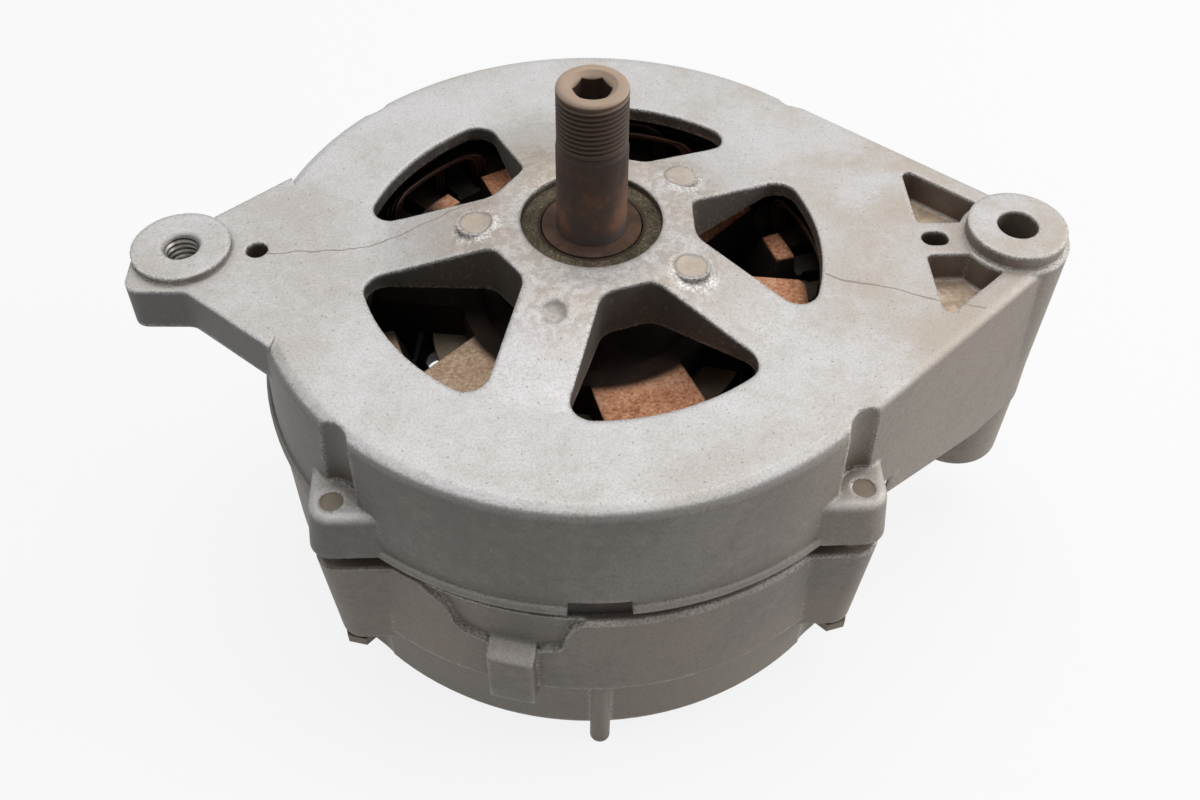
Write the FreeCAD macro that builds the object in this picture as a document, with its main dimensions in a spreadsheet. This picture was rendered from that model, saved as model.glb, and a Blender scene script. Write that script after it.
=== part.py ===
"""Alternator with a 17 mm shaft, standing on its slip ring end.

Millimetres. The shaft axis is the Z axis and its threaded nose points up. The origin is where
that axis meets the plane that the rear frame stands on. The adjusting ear points along -X and
the mounting foot along +X.
"""
import FreeCAD, Part
import math
import os
import Sketcher
from FreeCAD import Placement, Rotation, Vector
from types import SimpleNamespace

SIZES = (
    ("rib_drop", 4, "rest ribs below the rear drum"),
    ("rear_wall", 4.5, "thickness of the rear end wall"),
    ("drum_step", 29, "step of the rear drum"),
    ("lug_base", 26, "underside of the rear bolt lugs and of the foot boss"),
    ("rear_edge", 60.5, "upper edge of the rear frame"),
    ("frame_gap", 5.5, "band of laminations between the frames"),
    ("stack_drop", 1.5, "middle of the stator below the front frame's edge"),
    ("lug_height", 13, "height of the front bolt lugs"),
    ("ring_face", 100.6, "top of the flat ring of the front frame"),
    ("ring_plate", 3.6, "thickness of that ring"),
    ("hub_rise", 8.4, "front face of the hub above the ring"),
    ("nose_length", 38.5, "shaft beyond the hub face"),
    ("drum_radius", 84, "both frames at the joint between them"),
    ("rim_fall", 1.7, "taper of the front drum up to its ring"),
    ("rear_step", 2.8, "depth of the step in the rear drum"),
    ("lip", 1.1, "flange lip outside the drum"),
    ("lip_height", 2.4, "height of that lip"),
    ("lip_bevel", 0.6, "bevel of that lip"),
    ("notch_start", 264.5, "notch through the lip, start of it in degrees"),
    ("notch_sweep", 10, "its length in degrees"),
    ("notch_rise", 1, "its height above the lip"),
    ("drum_wall", 6.5, "drum wall above and below the stator"),
    ("bolt_offset", 2.2, "through bolts outside the drum radius"),
    ("bolt_shank", 2.7, "radius of a through bolt"),
    ("bolt_slack", 0.3, "clearance of a bolt in the rear frame"),
    ("lug_inset", 16.2, "sides of the square that the lugs are corners of, inside the drum radius"),
    ("lug_corner", 6, "corner radius of a lug"),
    ("lug_round", 2.2, "round of a lug's end"),
    ("lug_slack", 0.5, "rear lugs inside the front ones at the joint"),
    ("lug_draft", 6, "draft of the lug sides in degrees"),
    ("channel_radius", 6.3, "groove in the drum wall above a lug"),
    ("spokes", 5, "spokes between the hub and the ring"),
    ("spoke_half", 9.8, "half width of a spoke at its underside"),
    ("window_margin", 25.6, "ring outside the cooling windows"),
    ("window_inner", 25.4, "inner edge of the cooling windows"),
    ("window_corner", 5.5, "corner radius of the windows"),
    ("window_draft", 2, "draft of the window sides in degrees"),
    ("hub_radius", 27.5, "underside of the hub"),
    ("hub_flat", 24, "flat face of the hub"),
    ("slope_end", 51, "foot of the spokes' sloping tops"),
    ("slope_run", 2.5, "ring's underside inside of the windows' outer edge"),
    ("rim_fillet", 3, "round along the outer top edge"),
    ("mark_radius", 28.3, "circle of the round marks on the spokes"),
    ("mark_size", 4.5, "radius of a round mark"),
    ("mark_drop", 0.7, "top of a mark below the hub's face"),
    ("dimple_angle", 252, "shallow dimple on the front spoke, its direction in degrees"),
    ("dimple_reach", 32.2, "the dimple from the axis"),
    ("dimple_radius", 5, "sphere that the dimple is part of"),
    ("dimple_depth", 1.3, "its depth"),
    ("ear_reach", 100, "threaded hole of the adjusting ear from the axis"),
    ("ear_tip", 12, "end of the ear beyond its threaded hole"),
    ("ear_front", 14, "ear half width towards the front"),
    ("ear_back", 10.5, "ear half width towards the back"),
    ("ear_thick", 11.6, "thickness of the ear"),
    ("ear_corner", 4, "corner radius of the ear"),
    ("ear_pad", 12, "radius of the raised pad"),
    ("pad_rise", 1.9, "height of the raised pad"),
    ("ear_tap", 4.25, "wall radius of the threaded hole"),
    ("ear_sink", 0.8, "countersink of that hole"),
    ("ear_pin", 2.75, "radius of the small hole beside the ear"),
    ("ear_pin_inset", 2, "its axis inside the drum radius"),
    ("foot_reach", 106, "foot bore from the axis"),
    ("foot_bore", 5.15, "radius of the foot bore"),
    ("foot_boss", 12.3, "radius of the foot boss"),
    ("foot_rise", 4, "foot boss above the ring"),
    ("foot_depth", 45, "side wall of the foot below the hub, at the drum"),
    ("foot_fall", 15, "how much deeper the side wall is at the boss"),
    ("foot_draft", 2, "draft of the side walls and the boss in degrees"),
    ("foot_end", 13.7, "radius of the lower end of the boss"),
    ("foot_wall", 5, "wall of the foot web"),
    ("foot_round", 2.5, "round along its top edges"),
    ("pocket_depth", 8.5, "triangular pockets beside the middle rib"),
    ("pocket_gap", 0.2, "inner edge of those pockets outside the ring"),
    ("rib_half", 5.8, "half width of the middle rib"),
    ("rib_slot", 2.6, "half width of the oblong hole in the rib"),
    ("slot_near", 2.6, "near end of that hole beyond the ring"),
    ("slot_far", 4.4, "far end of that hole beyond the ring"),
    ("frame_clear", 1, "foot web clear of the rear frame"),
    ("core_length", 28, "stator stack"),
    ("core_land", 3, "frame wall outside the stator stack"),
    ("yoke", 8.4, "laminations behind the slots"),
    ("pole_pairs", 6, "claws on each rotor half"),
    ("rotor_turn", -11.6, "direction of a front claw at rest, in degrees"),
    ("slot_depth", 16, "depth of a stator slot"),
    ("slot_width", 4.2, "width of a stator slot"),
    ("slot_mouth", 2.4, "opening of a slot at the bore"),
    ("coil_rise", 12.5, "end turns beyond the stack"),
    ("wire_clear", 0.2, "winding clear of the slot"),
    ("air_gap", 0.6, "gap between the rotor and the stator"),
    ("pole_thick", 10.5, "thickness of a claw pole at its disc"),
    ("core_gap", 20, "length of the rotor core between the poles"),
    ("pole_core", 24, "radius of the rotor core"),
    ("pole_hub", 14, "hub in the middle of a claw pole"),
    ("pole_dish", 28, "radius of the shallow dish round that hub"),
    ("dish_depth", 2.5, "depth of the dish"),
    ("claw_bevel", 1.5, "bevel along the outer edge of a claw pole"),
    ("valley_radius", 33, "claw pole disc between its claws"),
    ("claw_root", 13.4, "half width of a claw's outer face at its root"),
    ("claw_taper", 0.07, "narrowing of half a claw towards the axis, for each mm"),
    ("claw_tip", 5, "half width of a claw's outer face at its tip"),
    ("claw_depth", 12.5, "depth of a claw at its root"),
    ("claw_edge", 5, "depth of a claw at its tip"),
    ("coil_gap", 2.5, "field winding inside the claws"),
    ("bobbin_wall", 1.5, "wall of the bobbin"),
    ("shaft_radius", 8.5, "shaft at both bearings"),
    ("rotor_bore", 10, "shaft inside the rotor"),
    ("thread_length", 13, "threaded end of the shaft"),
    ("thread_crest", 8.3, "radius over the thread"),
    ("undercut", 1.5, "length of the groove behind the thread"),
    ("nose_chamfer", 1.5, "chamfer at the end of the shaft"),
    ("socket_flats", 7.94, "hexagon socket across its flats"),
    ("socket_depth", 12, "depth of the hexagon socket"),
    ("socket_mouth", 5.7, "radius of its countersink"),
    ("bearing_outer", 20, "outside radius of the front bearing"),
    ("bearing_width", 12, "width of the front bearing"),
    ("bearing_lip", 1.6, "lip of the hub in front of the bearing"),
    ("bearing_open", 17.3, "radius of the opening in that lip"),
    ("land_inner", 12.15, "inner ring over its land"),
    ("land_outer", 17.05, "outer ring inside its land"),
    ("ball_radius", 3.37, "ball of the front bearing"),
    ("ball_slack", 0.06, "running clearance of a ball"),
    ("ball_count", 8, "balls"),
    ("seal_thick", 0.9, "thickness of a bearing seal"),
    ("retainer_radius", 23.4, "outside of the bearing retainer"),
    ("retainer_ear", 4.2, "radius of its three ears"),
    ("retainer_thick", 1.8, "its thickness"),
    ("retainer_bolts", 24.6, "its screws from the axis"),
    ("boss_radius", 15.5, "rear bearing boss"),
    ("boss_height", 23, "its height above the rest plane"),
    ("cup_radius", 12, "outside radius of the rear bearing"),
    ("cup_lip", 0.8, "turned in lips of its drawn cup"),
    ("cup_start", 5, "lower end of the cup"),
    ("cup_length", 15, "length of the cup"),
    ("roller_radius", 1.15, "roller of the rear bearing"),
    ("roller_count", 14, "rollers"),
    ("plug_thick", 2.5, "plug that closes the rear bearing"),
    ("ring_hub", 14.2, "insulating hub of the slip rings"),
    ("slip_radius", 15.8, "slip rings"),
    ("slip_width", 5, "width of a slip ring"),
    ("slip_pitch", 7, "distance between the slip rings"),
    ("slip_start", 26.5, "lower edge of the first slip ring"),
    ("brush_width", 6.4, "width of a brush"),
    ("brush_height", 4.4, "height of a brush"),
    ("brush_length", 14, "length of a brush"),
    ("brush_clear", 0.06, "running clearance of a brush"),
    ("brush_slot", 0.2, "brush clear of its guide"),
    ("guide_end", 42, "outer end of the brush holder"),
    ("holder_width", 13, "width of the brush holder"),
    ("spring_radius", 1.7, "radius of a brush spring"),
    ("spring_wire", 0.35, "its wire"),
    ("post_spread", 10.5, "brush holder screws from the middle"),
    ("post_reach", 37, "brush holder screws from the axis"),
    ("post_radius", 4.5, "posts under the brush holder"),
    ("vent_count", 16, "places round the rear wall that can hold a vent"),
    ("vent_half", 4.4, "half width of a vent"),
    ("vent_inner", 24, "inner end of a vent"),
    ("vent_margin", 17, "outer end of a vent inside the drum radius"),
    ("well_inset", 32, "output stud inside the drum radius"),
    ("well_angle", 22.5, "direction of the output stud in degrees"),
    ("well_radius", 12, "well round the output stud"),
    ("well_depth", 13, "depth of that well"),
    ("well_wall", 2.6, "wall of that well"),
    ("stud_radius", 3, "free end of the output stud"),
    ("stud_body", 3.2, "output stud under its nut"),
    ("stud_step", 0.6, "its body beyond the nut"),
    ("stud_end", 1, "lower end of the output stud"),
    ("rest_rib", 2.6, "radius of a rest rib"),
    ("rear_draft", 2.5, "draft of the rear lug sides in degrees"),
    ("tab_angle", 255.3, "direction of the cast tab in degrees"),
    ("tab_rise", 3.5, "outer face of the tab outside the drum"),
    ("tab_top", 46.5, "top of the tab at the drum"),
    ("tab_width", 11.5, "width of the tab"),
    ("tab_slope", 1.6, "fall of the tab's top"),
    ("recess_depth", 1.6, "depth of the recess above the tab"),
    ("tab_edge", 1.2, "round of the tab's edges"),
    ("bolt_flats", 8.4, "bolt head across its flats"),
    ("bolt_head", 3, "height of a bolt head"),
    ("bolt_room", 6.2, "recess in the drum round a bolt head"),
    ("small_screw", 1.7, "radius of the small screws"),
    ("claw_reach", 19, "claw tip beyond the middle of the stator"),
    ("sink_plate", 3, "thickness of a heat sink"),
    ("sink_inner", 22, "inner edge of the heat sinks"),
    ("sink_inset", 18, "heat sinks and regulator inside the drum radius"),
    ("diode_radius", 6, "diodes"),
    ("diode_height", 5, "height of a diode"),
    ("phase_stud", 1.8, "radius of the phase terminals"),
    ("regulator_length", 30, "length of the regulator"),
    ("regulator_half", 13, "half width of the regulator"),
    ("regulator_height", 10, "height of the regulator"),
    ("regulator_spread", 15, "regulator screws from the middle"),
    ("capacitor_inset", 22, "capacitor inside the drum radius"),
    ("capacitor_angle", 258.75, "its direction in degrees"),
    ("capacitor_radius", 6.5, "radius of the capacitor"),
    ("capacitor_height", 20, "height of the capacitor"),
)
VENTS = (0, 2, 6, 10, 11, 12, 13, 14, 15)

doc = FreeCAD.newDocument("alternator")
sheet = doc.addObject("Spreadsheet::Sheet", "Sizes")
for row, (alias, number, note) in enumerate(SIZES, start=1):
    sheet.set("A%d" % row, alias)
    sheet.set("B%d" % row, str(number))
    sheet.setAlias("B%d" % row, alias)
    sheet.set("C%d" % row, note)
doc.recompute()


class Size:
    """A length or an angle as a number, with the formula on the sheet's cells that gives it."""

    def __init__(self, number, formula):
        self.number = float(number)
        self.formula = formula

    def __float__(self):
        return self.number

    def __add__(self, other):
        other = sized(other)
        return Size(self.number + other.number, "(%s + %s)" % (self.formula, other.formula))

    def __sub__(self, other):
        other = sized(other)
        return Size(self.number - other.number, "(%s - %s)" % (self.formula, other.formula))

    def __mul__(self, other):
        other = sized(other)
        return Size(self.number * other.number, "(%s * %s)" % (self.formula, other.formula))

    def __truediv__(self, other):
        other = sized(other)
        return Size(self.number / other.number, "(%s / %s)" % (self.formula, other.formula))

    def __radd__(self, other):
        return sized(other) + self

    def __rsub__(self, other):
        return sized(other) - self

    def __rmul__(self, other):
        return sized(other) * self

    def __rtruediv__(self, other):
        return sized(other) / self

    def __neg__(self):
        return sized(0) - self


def sized(value):
    """Any number as a Size."""
    return value if isinstance(value, Size) else Size(value, repr(float(value)))


def cosine(angle):
    """Cosine of an angle in degrees."""
    angle = sized(angle)
    return Size(math.cos(math.radians(angle.number)), "cos(%s)" % angle.formula)


def sine(angle):
    """Sine of an angle in degrees."""
    angle = sized(angle)
    return Size(math.sin(math.radians(angle.number)), "sin(%s)" % angle.formula)


def tangent(angle):
    """Tangent of an angle in degrees."""
    return sine(angle) / cosine(angle)


def root(value):
    """Square root of a size."""
    return Size(math.sqrt(value.number), "sqrt(%s)" % value.formula)


def polar(radius, angle):
    """X and Y of a point at a distance from the axis, in a direction in degrees."""
    return radius * cosine(angle), radius * sine(angle)


d = SimpleNamespace()
for alias, number, note in SIZES:
    setattr(d, alias, Size(sheet.get(alias), "Sizes." + alias))


# Radii that follow the drum, and lengths that follow other sizes.
d.rim_radius = d.drum_radius - d.rim_fall
d.rear_radius = d.drum_radius - d.rear_step
d.bolt_circle = d.drum_radius + d.bolt_offset
d.lug_half = d.drum_radius - d.lug_inset
d.window_radius = d.rim_radius - d.window_margin
d.slope_radius = d.window_radius + d.slope_run
d.ear_end = d.ear_reach + d.ear_tip
d.ear_pin_reach = d.drum_radius - d.ear_pin_inset
d.pocket_start = d.rim_radius + d.pocket_gap
d.core_radius = d.drum_radius - d.core_land
d.bore_radius = d.core_radius - d.yoke - d.slot_depth
d.rotor_radius = d.bore_radius - d.air_gap
d.claw_inner = d.rotor_radius - d.claw_depth
d.claw_lip = d.rotor_radius - d.claw_edge
d.coil_radius = d.claw_inner - d.coil_gap
d.vent_outer = d.drum_radius - d.vent_margin
d.well_reach = d.drum_radius - d.well_inset
d.tab_radius = d.drum_radius + d.tab_rise
d.sink_outer = d.drum_radius - d.sink_inset
d.regulator_outer = d.sink_outer
d.regulator_inner = d.regulator_outer - d.regulator_length
d.capacitor_reach = d.drum_radius - d.capacitor_inset


def bind(thing, path, value):
    """Tie a property, or one coordinate of a placement, to the formula of a size."""
    thing.setExpression(path, sized(value).formula)


def place(thing, at=(0, 0, 0), turn=None):
    """Put a thing at a point and turn it about Z, both by formula."""
    for axis, value in zip("xyz", at):
        bind(thing, "Placement.Base." + axis, value)
    if turn is not None:
        bind(thing, "Placement.Rotation.Angle", turn)
    return thing


def solid(kind, name, at=(0, 0, 0), turn=None, **sizes):
    """A box, cylinder, cone, sphere, torus or prism."""
    thing = doc.addObject("Part::" + kind, name)
    for field, value in sizes.items():
        bind(thing, field, value)
    return place(thing, at, turn)


def cylinder(name, radius, bottom, top, x=0, y=0):
    """An upright cylinder between two heights."""
    return solid("Cylinder", name, (x, y, bottom), Radius=radius, Height=top - bottom)


def tube(name, inner, outer, bottom, top, x=0, y=0):
    """An upright tube between two heights."""
    past = 1
    wall = cylinder(name + "_outside", outer, sized(bottom), top, x, y)
    hole = cylinder(name + "_inside", inner, sized(bottom) - past, top + past, x, y)
    return cut(name, wall, hole)


def block(name, low, high):
    """A box between two corners."""
    length, width, height = [sized(b) - a for a, b in zip(low, high)]
    return solid("Box", name, low, Length=length, Width=width, Height=height)


def radial(name, angle, near, far, half, bottom, top):
    """A box that lies along a direction from the axis."""
    x, y = polar(near, angle)
    corner = (x + half * sine(angle), y - half * cosine(angle), bottom)
    return solid("Box", name, corner, angle, Length=far - near, Width=2 * half, Height=top - bottom)


def sector(name, inner, outer, bottom, top, start, sweep):
    """Part of a ring between two directions in degrees."""
    wedge = solid("Cylinder", name + "_wedge", (0, 0, bottom), Radius=outer, Height=top - bottom,
                  Angle=sweep)
    core = cylinder(name + "_core", inner, sized(bottom) - 1, sized(top) + 1)
    return place(cut(name, wedge, core), turn=start)


def cut(name, base, *tools):
    """One solid less others."""
    thing = doc.addObject("Part::Cut", name)
    thing.Base = base
    thing.Tool = tools[0] if len(tools) == 1 else fuse(name + "_cutters", *tools)
    return thing


def fuse(name, *things):
    """Solids joined, or a group where they don't touch."""
    thing = doc.addObject("Part::MultiFuse", name)
    thing.Shapes = list(things)
    return thing


def common(name, *things):
    """What solids share."""
    thing = doc.addObject("Part::MultiCommon", name)
    thing.Shapes = list(things)
    return thing


def group(name, *things):
    """Separate solids that share one node."""
    thing = doc.addObject("Part::Compound", name)
    thing.Links = list(things)
    return thing


def rounded(name, base, radius, test):
    """A solid with the edges that pass a test rounded."""
    doc.recompute()
    thing = doc.addObject("Part::Fillet", name)
    thing.Base = base
    size = float(radius)
    chosen = [i for i, edge in enumerate(base.Shape.Edges, start=1) if test(edge)]
    thing.Edges = [(i, size, size) for i in chosen]
    return thing


def upright(edge):
    """True for an edge that runs mostly along Z."""
    first, last = edge.Vertexes[0].Point, edge.Vertexes[-1].Point
    return abs(first.z - last.z) > 3 * math.hypot(first.x - last.x, first.y - last.y)


def body(name):
    """An empty body."""
    return doc.addObject("PartDesign::Body", name)


def sketch(owner, name, plane, corners, height=0):
    """A closed outline of straight lines, every corner tied to the sheet."""
    outline = owner.newObject("Sketcher::SketchObject", name)
    origin = [feature for feature in owner.Origin.OriginFeatures if feature.Role == plane][0]
    outline.AttachmentSupport = [(origin, "")]
    outline.MapMode = "FlatFace"
    bind(outline, "AttachmentOffset.Base.z", height)
    points = [Vector(float(x), float(y), 0) for x, y in corners]
    count = len(points)
    for i, point in enumerate(points):
        outline.addGeometry(Part.LineSegment(point, points[(i + 1) % count]), False)
    for i in range(count):
        outline.addConstraint(Sketcher.Constraint("Coincident", i, 2, (i + 1) % count, 1))
    for i, corner in enumerate(corners):
        for kind, value in zip(("DistanceX", "DistanceY"), corner):
            index = outline.addConstraint(Sketcher.Constraint(kind, -1, 1, i, 1, float(value)))
            bind(outline, "Constraints[%d]" % index, value)
    return outline


def revolved(owner, name, corners):
    """A profile in radius and height, turned about Z and added to a body."""
    feature = owner.newObject("PartDesign::Revolution", name)
    outline = sketch(owner, name + "_profile", "XZ_Plane", corners)
    feature.Profile = outline
    feature.ReferenceAxis = (outline, ["V_Axis"])
    feature.Angle = 360
    return feature


def grooved(owner, name, corners):
    """A profile in radius and height, turned about Z and cut from a body."""
    feature = owner.newObject("PartDesign::Groove", name)
    outline = sketch(owner, name + "_profile", "XZ_Plane", corners)
    feature.Profile = outline
    feature.ReferenceAxis = (outline, ["V_Axis"])
    feature.Angle = 360
    return feature


def padded(owner, name, corners, bottom, top, draft=0):
    """An outline in plan, raised between two heights, its sides leaning inwards by the draft."""
    feature = owner.newObject("PartDesign::Pad", name)
    feature.Profile = sketch(owner, name + "_outline", "XY_Plane", corners, bottom)
    bind(feature, "Length", sized(top) - bottom)
    bind(feature, "TaperAngle", -sized(draft))
    return feature


def repeated(owner, name, features, count, axis="N_Axis"):
    """Features of a body repeated evenly about the shaft axis."""
    feature = owner.newObject("PartDesign::PolarPattern", name)
    feature.Originals = features
    feature.Axis = (features[0].Profile[0], [axis])
    feature.Angle = 360
    bind(feature, "Occurrences", count)
    owner.Tip = feature
    return feature


def turned(name, corners):
    """A body made by turning one profile."""
    owner = body(name)
    revolved(owner, name + "_turning", corners)
    return owner


def prism(name, corners, bottom, top, draft=0):
    """A body made by raising one outline."""
    owner = body(name)
    padded(owner, name + "_raised", corners, bottom, top, draft)
    return owner


def ring(name, inner, outer, bottom, top):
    """A plain turned ring."""
    return turned(name, [(inner, bottom), (outer, bottom), (outer, top), (inner, top)])


def spread(kind, name, count, radius, height, **sizes):
    """Equal primitives spaced evenly on a circle."""
    return [solid(kind, "%s_%d" % (name, i), (*polar(radius, 360 * i / count), height), **sizes)
            for i in range(int(float(count)))]


def screw(name, head, head_height, seat, tip, x, y, downwards=True):
    """A pan head screw between the seat of its head and its tip."""
    end = seat + (head_height if downwards else -head_height)
    low, high = sorted((end, seat), key=float)
    foot, neck = sorted((sized(tip), seat), key=float)
    return fuse(name, cylinder(name + "_head", head, low, high, x, y),
                cylinder(name + "_shank", d.small_screw, foot, neck, x, y))


def mirror_y(corners):
    """An outline reflected to the other side of the X axis."""
    return [(x, -y) for x, y in corners]


NODES = []


def node(label, thing):
    """Name a finished sub-part."""
    thing.Label = label
    NODES.append((label, thing))
    return thing


# Heights that follow from the driving sizes.
drum_foot = d.rib_drop
wall_top = d.rib_drop + d.rear_wall
front_edge = d.rear_edge + d.frame_gap
lug_top = front_edge + d.lug_height
hub_face = d.ring_face + d.hub_rise
ring_under = d.ring_face - d.ring_plate
nose_end = hub_face + d.nose_length
stack_middle = front_edge - d.stack_drop
stack_low = stack_middle - d.core_length / 2
stack_high = stack_middle + d.core_length / 2
core_low = stack_middle - d.core_gap / 2
core_high = stack_middle + d.core_gap / 2
rotor_low = core_low - d.pole_thick
rotor_high = core_high + d.pole_thick
bearing_high = hub_face - d.bearing_lip
bearing_low = bearing_high - d.bearing_width
drum_inner = d.drum_radius - d.drum_wall
wall_inner = d.rear_radius - d.rear_wall
well_top = drum_foot + d.well_depth
cup_end = d.cup_start + d.cup_length
brush_first = d.slip_start + d.slip_width / 2
post_top = brush_first - d.brush_height / 2 - 1.5
coil_floor = d.bore_radius + 2.2
coil_layer = (d.bore_radius + d.slot_depth - d.wire_clear - coil_floor) / 3
regulator_middle = (d.regulator_inner + d.regulator_outer) / 2
clamp_reach = d.capacitor_reach - d.capacitor_radius - 6
bolt_angles = [45 + 90 * quarter for quarter in range(4)]
retainer_angles = (36, 180, 324)
brush_posts = [(side * d.post_spread, d.post_reach) for side in (-1, 1)]
regulator_bolts = [(-regulator_middle, side * d.regulator_spread) for side in (-1, 1)]


# Front frame. A turned drum with a flat ring and a raised hub, four square lugs, an ear and a
# foot, hollowed for the stator and opened by five windows.
def front_lugs():
    """The corners of a square block that stand out of the drum, rounded as cast."""
    half = d.lug_half
    square = [(half, -half), (half, half), (-half, half), (-half, -half)]
    blank = prism("front_lug_block", square, front_edge, lug_top, d.lug_draft)
    corners = rounded("front_lug_corners", blank, d.lug_corner, upright)
    level = float(lug_top)
    return rounded("front_lug_tops", corners, d.lug_round,
                   lambda edge: all(abs(v.Z - level) < 0.01 for v in edge.Vertexes))


def front_ear():
    """The flat plate of the adjusting ear, with its raised pad."""
    flank_front, flank_back = 204, 160
    join = d.rim_radius - 0.5
    corners = [
        polar(join, flank_back),
        (-(d.ear_reach - 3), d.ear_back),
        (-d.ear_end, d.ear_back - 1),
        (-d.ear_end, -d.ear_front),
        (-(d.ear_reach - 3), -d.ear_front - 0.5),
        polar(join, flank_front),
        (-d.window_radius - 8, 0),
    ]
    plate = prism("ear_plate", corners, d.ring_face - d.ear_thick, d.ring_face, 1)
    soft = rounded("ear_plate_corners", plate, d.ear_corner,
                   lambda edge: upright(edge) and edge.Vertexes[0].X < -90)
    pad = cylinder("ear_pad_disc", d.ear_pad, d.ring_face - d.ear_thick, d.ring_face + d.pad_rise,
                   -d.ear_reach)
    return soft, pad


def foot_side():
    """Direction across the side of the foot, which touches the drum's circle and the boss's circle."""
    across = (d.rim_radius - d.foot_boss) / d.foot_reach
    return across, root(1 - across * across)


def foot_hollow(name, mirrored, wall, near, far, rib, radius, bottom, top):
    """A hollow between the middle rib and one side of the foot."""
    nx, ny = foot_side()
    reach = d.rim_radius - wall
    corners = [(near, rib), (far, rib), (far, (reach - far * nx) / ny), (near, (reach - near * nx) / ny)]
    if mirrored:
        corners = mirror_y(corners)
    return rounded(name + "_corners", prism(name, corners, bottom, top), radius, upright)


def front_foot():
    """The tall web between the drum and the long foot boss."""
    deepest = hub_face - d.foot_depth - d.foot_fall
    shallow = hub_face - d.foot_depth
    nx, ny = foot_side()
    flare = (d.ring_face - deepest) * tangent(d.foot_draft)
    near = ((d.rim_radius + flare) * nx, (d.rim_radius + flare) * ny)
    far = (d.foot_reach + (d.foot_boss + flare) * nx, (d.foot_boss + flare) * ny)
    plan = [near, far] + mirror_y([far, near])
    web = prism("foot_web", plan, deepest, d.ring_face, d.foot_draft)
    level = float(d.ring_face)
    soft = rounded("foot_web_top", web, d.foot_round, lambda edge: edge.Length > 30
                   and all(abs(v.Z - level) < 0.01 for v in edge.Vertexes)
                   and abs(edge.Vertexes[0].X - edge.Vertexes[-1].X) > 10)
    boss = solid("Cone", "foot_boss_round", (d.foot_reach, 0, deepest), Height=d.ring_face - deepest,
                 Radius1=d.foot_boss + flare, Radius2=d.foot_boss)
    head = cylinder("foot_boss_head", d.foot_boss, d.ring_face - 1, d.ring_face + d.foot_rise, d.foot_reach)
    inner = d.lug_half - 9
    side = [(inner, deepest - 1), (d.foot_reach, deepest - 1), (inner, shallow)]
    wedge = body("foot_underside")
    feature = wedge.newObject("PartDesign::Pad", "foot_underside_wedge")
    feature.Profile = sketch(wedge, "foot_underside_outline", "XZ_Plane", side)
    bind(feature, "Length", 2 * d.drum_radius)
    feature.Midplane = True
    shelf = d.ring_face - d.pocket_depth
    hollows = []
    for name, mirrored in (("back", False), ("front", True)):
        hollows.append(foot_hollow("foot_pocket_" + name, mirrored, d.foot_wall + 1.6, d.pocket_start,
                                   d.foot_reach - 6, d.rib_half, 1.8, shelf, d.ring_face + 1))
        hollows.append(foot_hollow("foot_cavity_" + name, mirrored, d.foot_wall, d.rear_radius + 2,
                                   d.foot_reach - 9, d.rib_half - 1.5, 2, deepest - 2, shelf - 4))
    end = cylinder("foot_boss_end", d.foot_end, d.lug_base, d.ring_face, d.foot_reach)
    return fuse("foot_solid", cut("foot_web_shaped", soft, wedge, *hollows), boss, head, end)


def window(number):
    """One cooling window between two spokes, with rounded corners and drafted sides."""
    half_pitch = 180 / float(d.spokes)
    low, high = ring_under - 6, hub_face + 1
    inner_half = (d.window_inner - d.spoke_half / sine(half_pitch)) * tangent(half_pitch)
    outer = d.window_radius + 12
    outer_half = (outer - d.spoke_half / sine(half_pitch)) * tangent(half_pitch)
    corners = [(d.window_inner, -inner_half), (outer, -outer_half), (outer, outer_half),
               (d.window_inner, inner_half)]
    wedge = prism("window_wedge_%d" % number, corners, low, high, -d.window_draft)
    disc = solid("Cone", "window_disc_%d" % number, (0, 0, low), Height=high - low,
                 Radius1=d.window_radius, Radius2=d.window_radius + (high - low) * tangent(d.window_draft))
    raw = common("window_raw_%d" % number, wedge, disc)
    soft = rounded("window_%d" % number, raw, d.window_corner, upright)
    place(soft, turn=number * 360 / d.spokes)
    return soft


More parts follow.
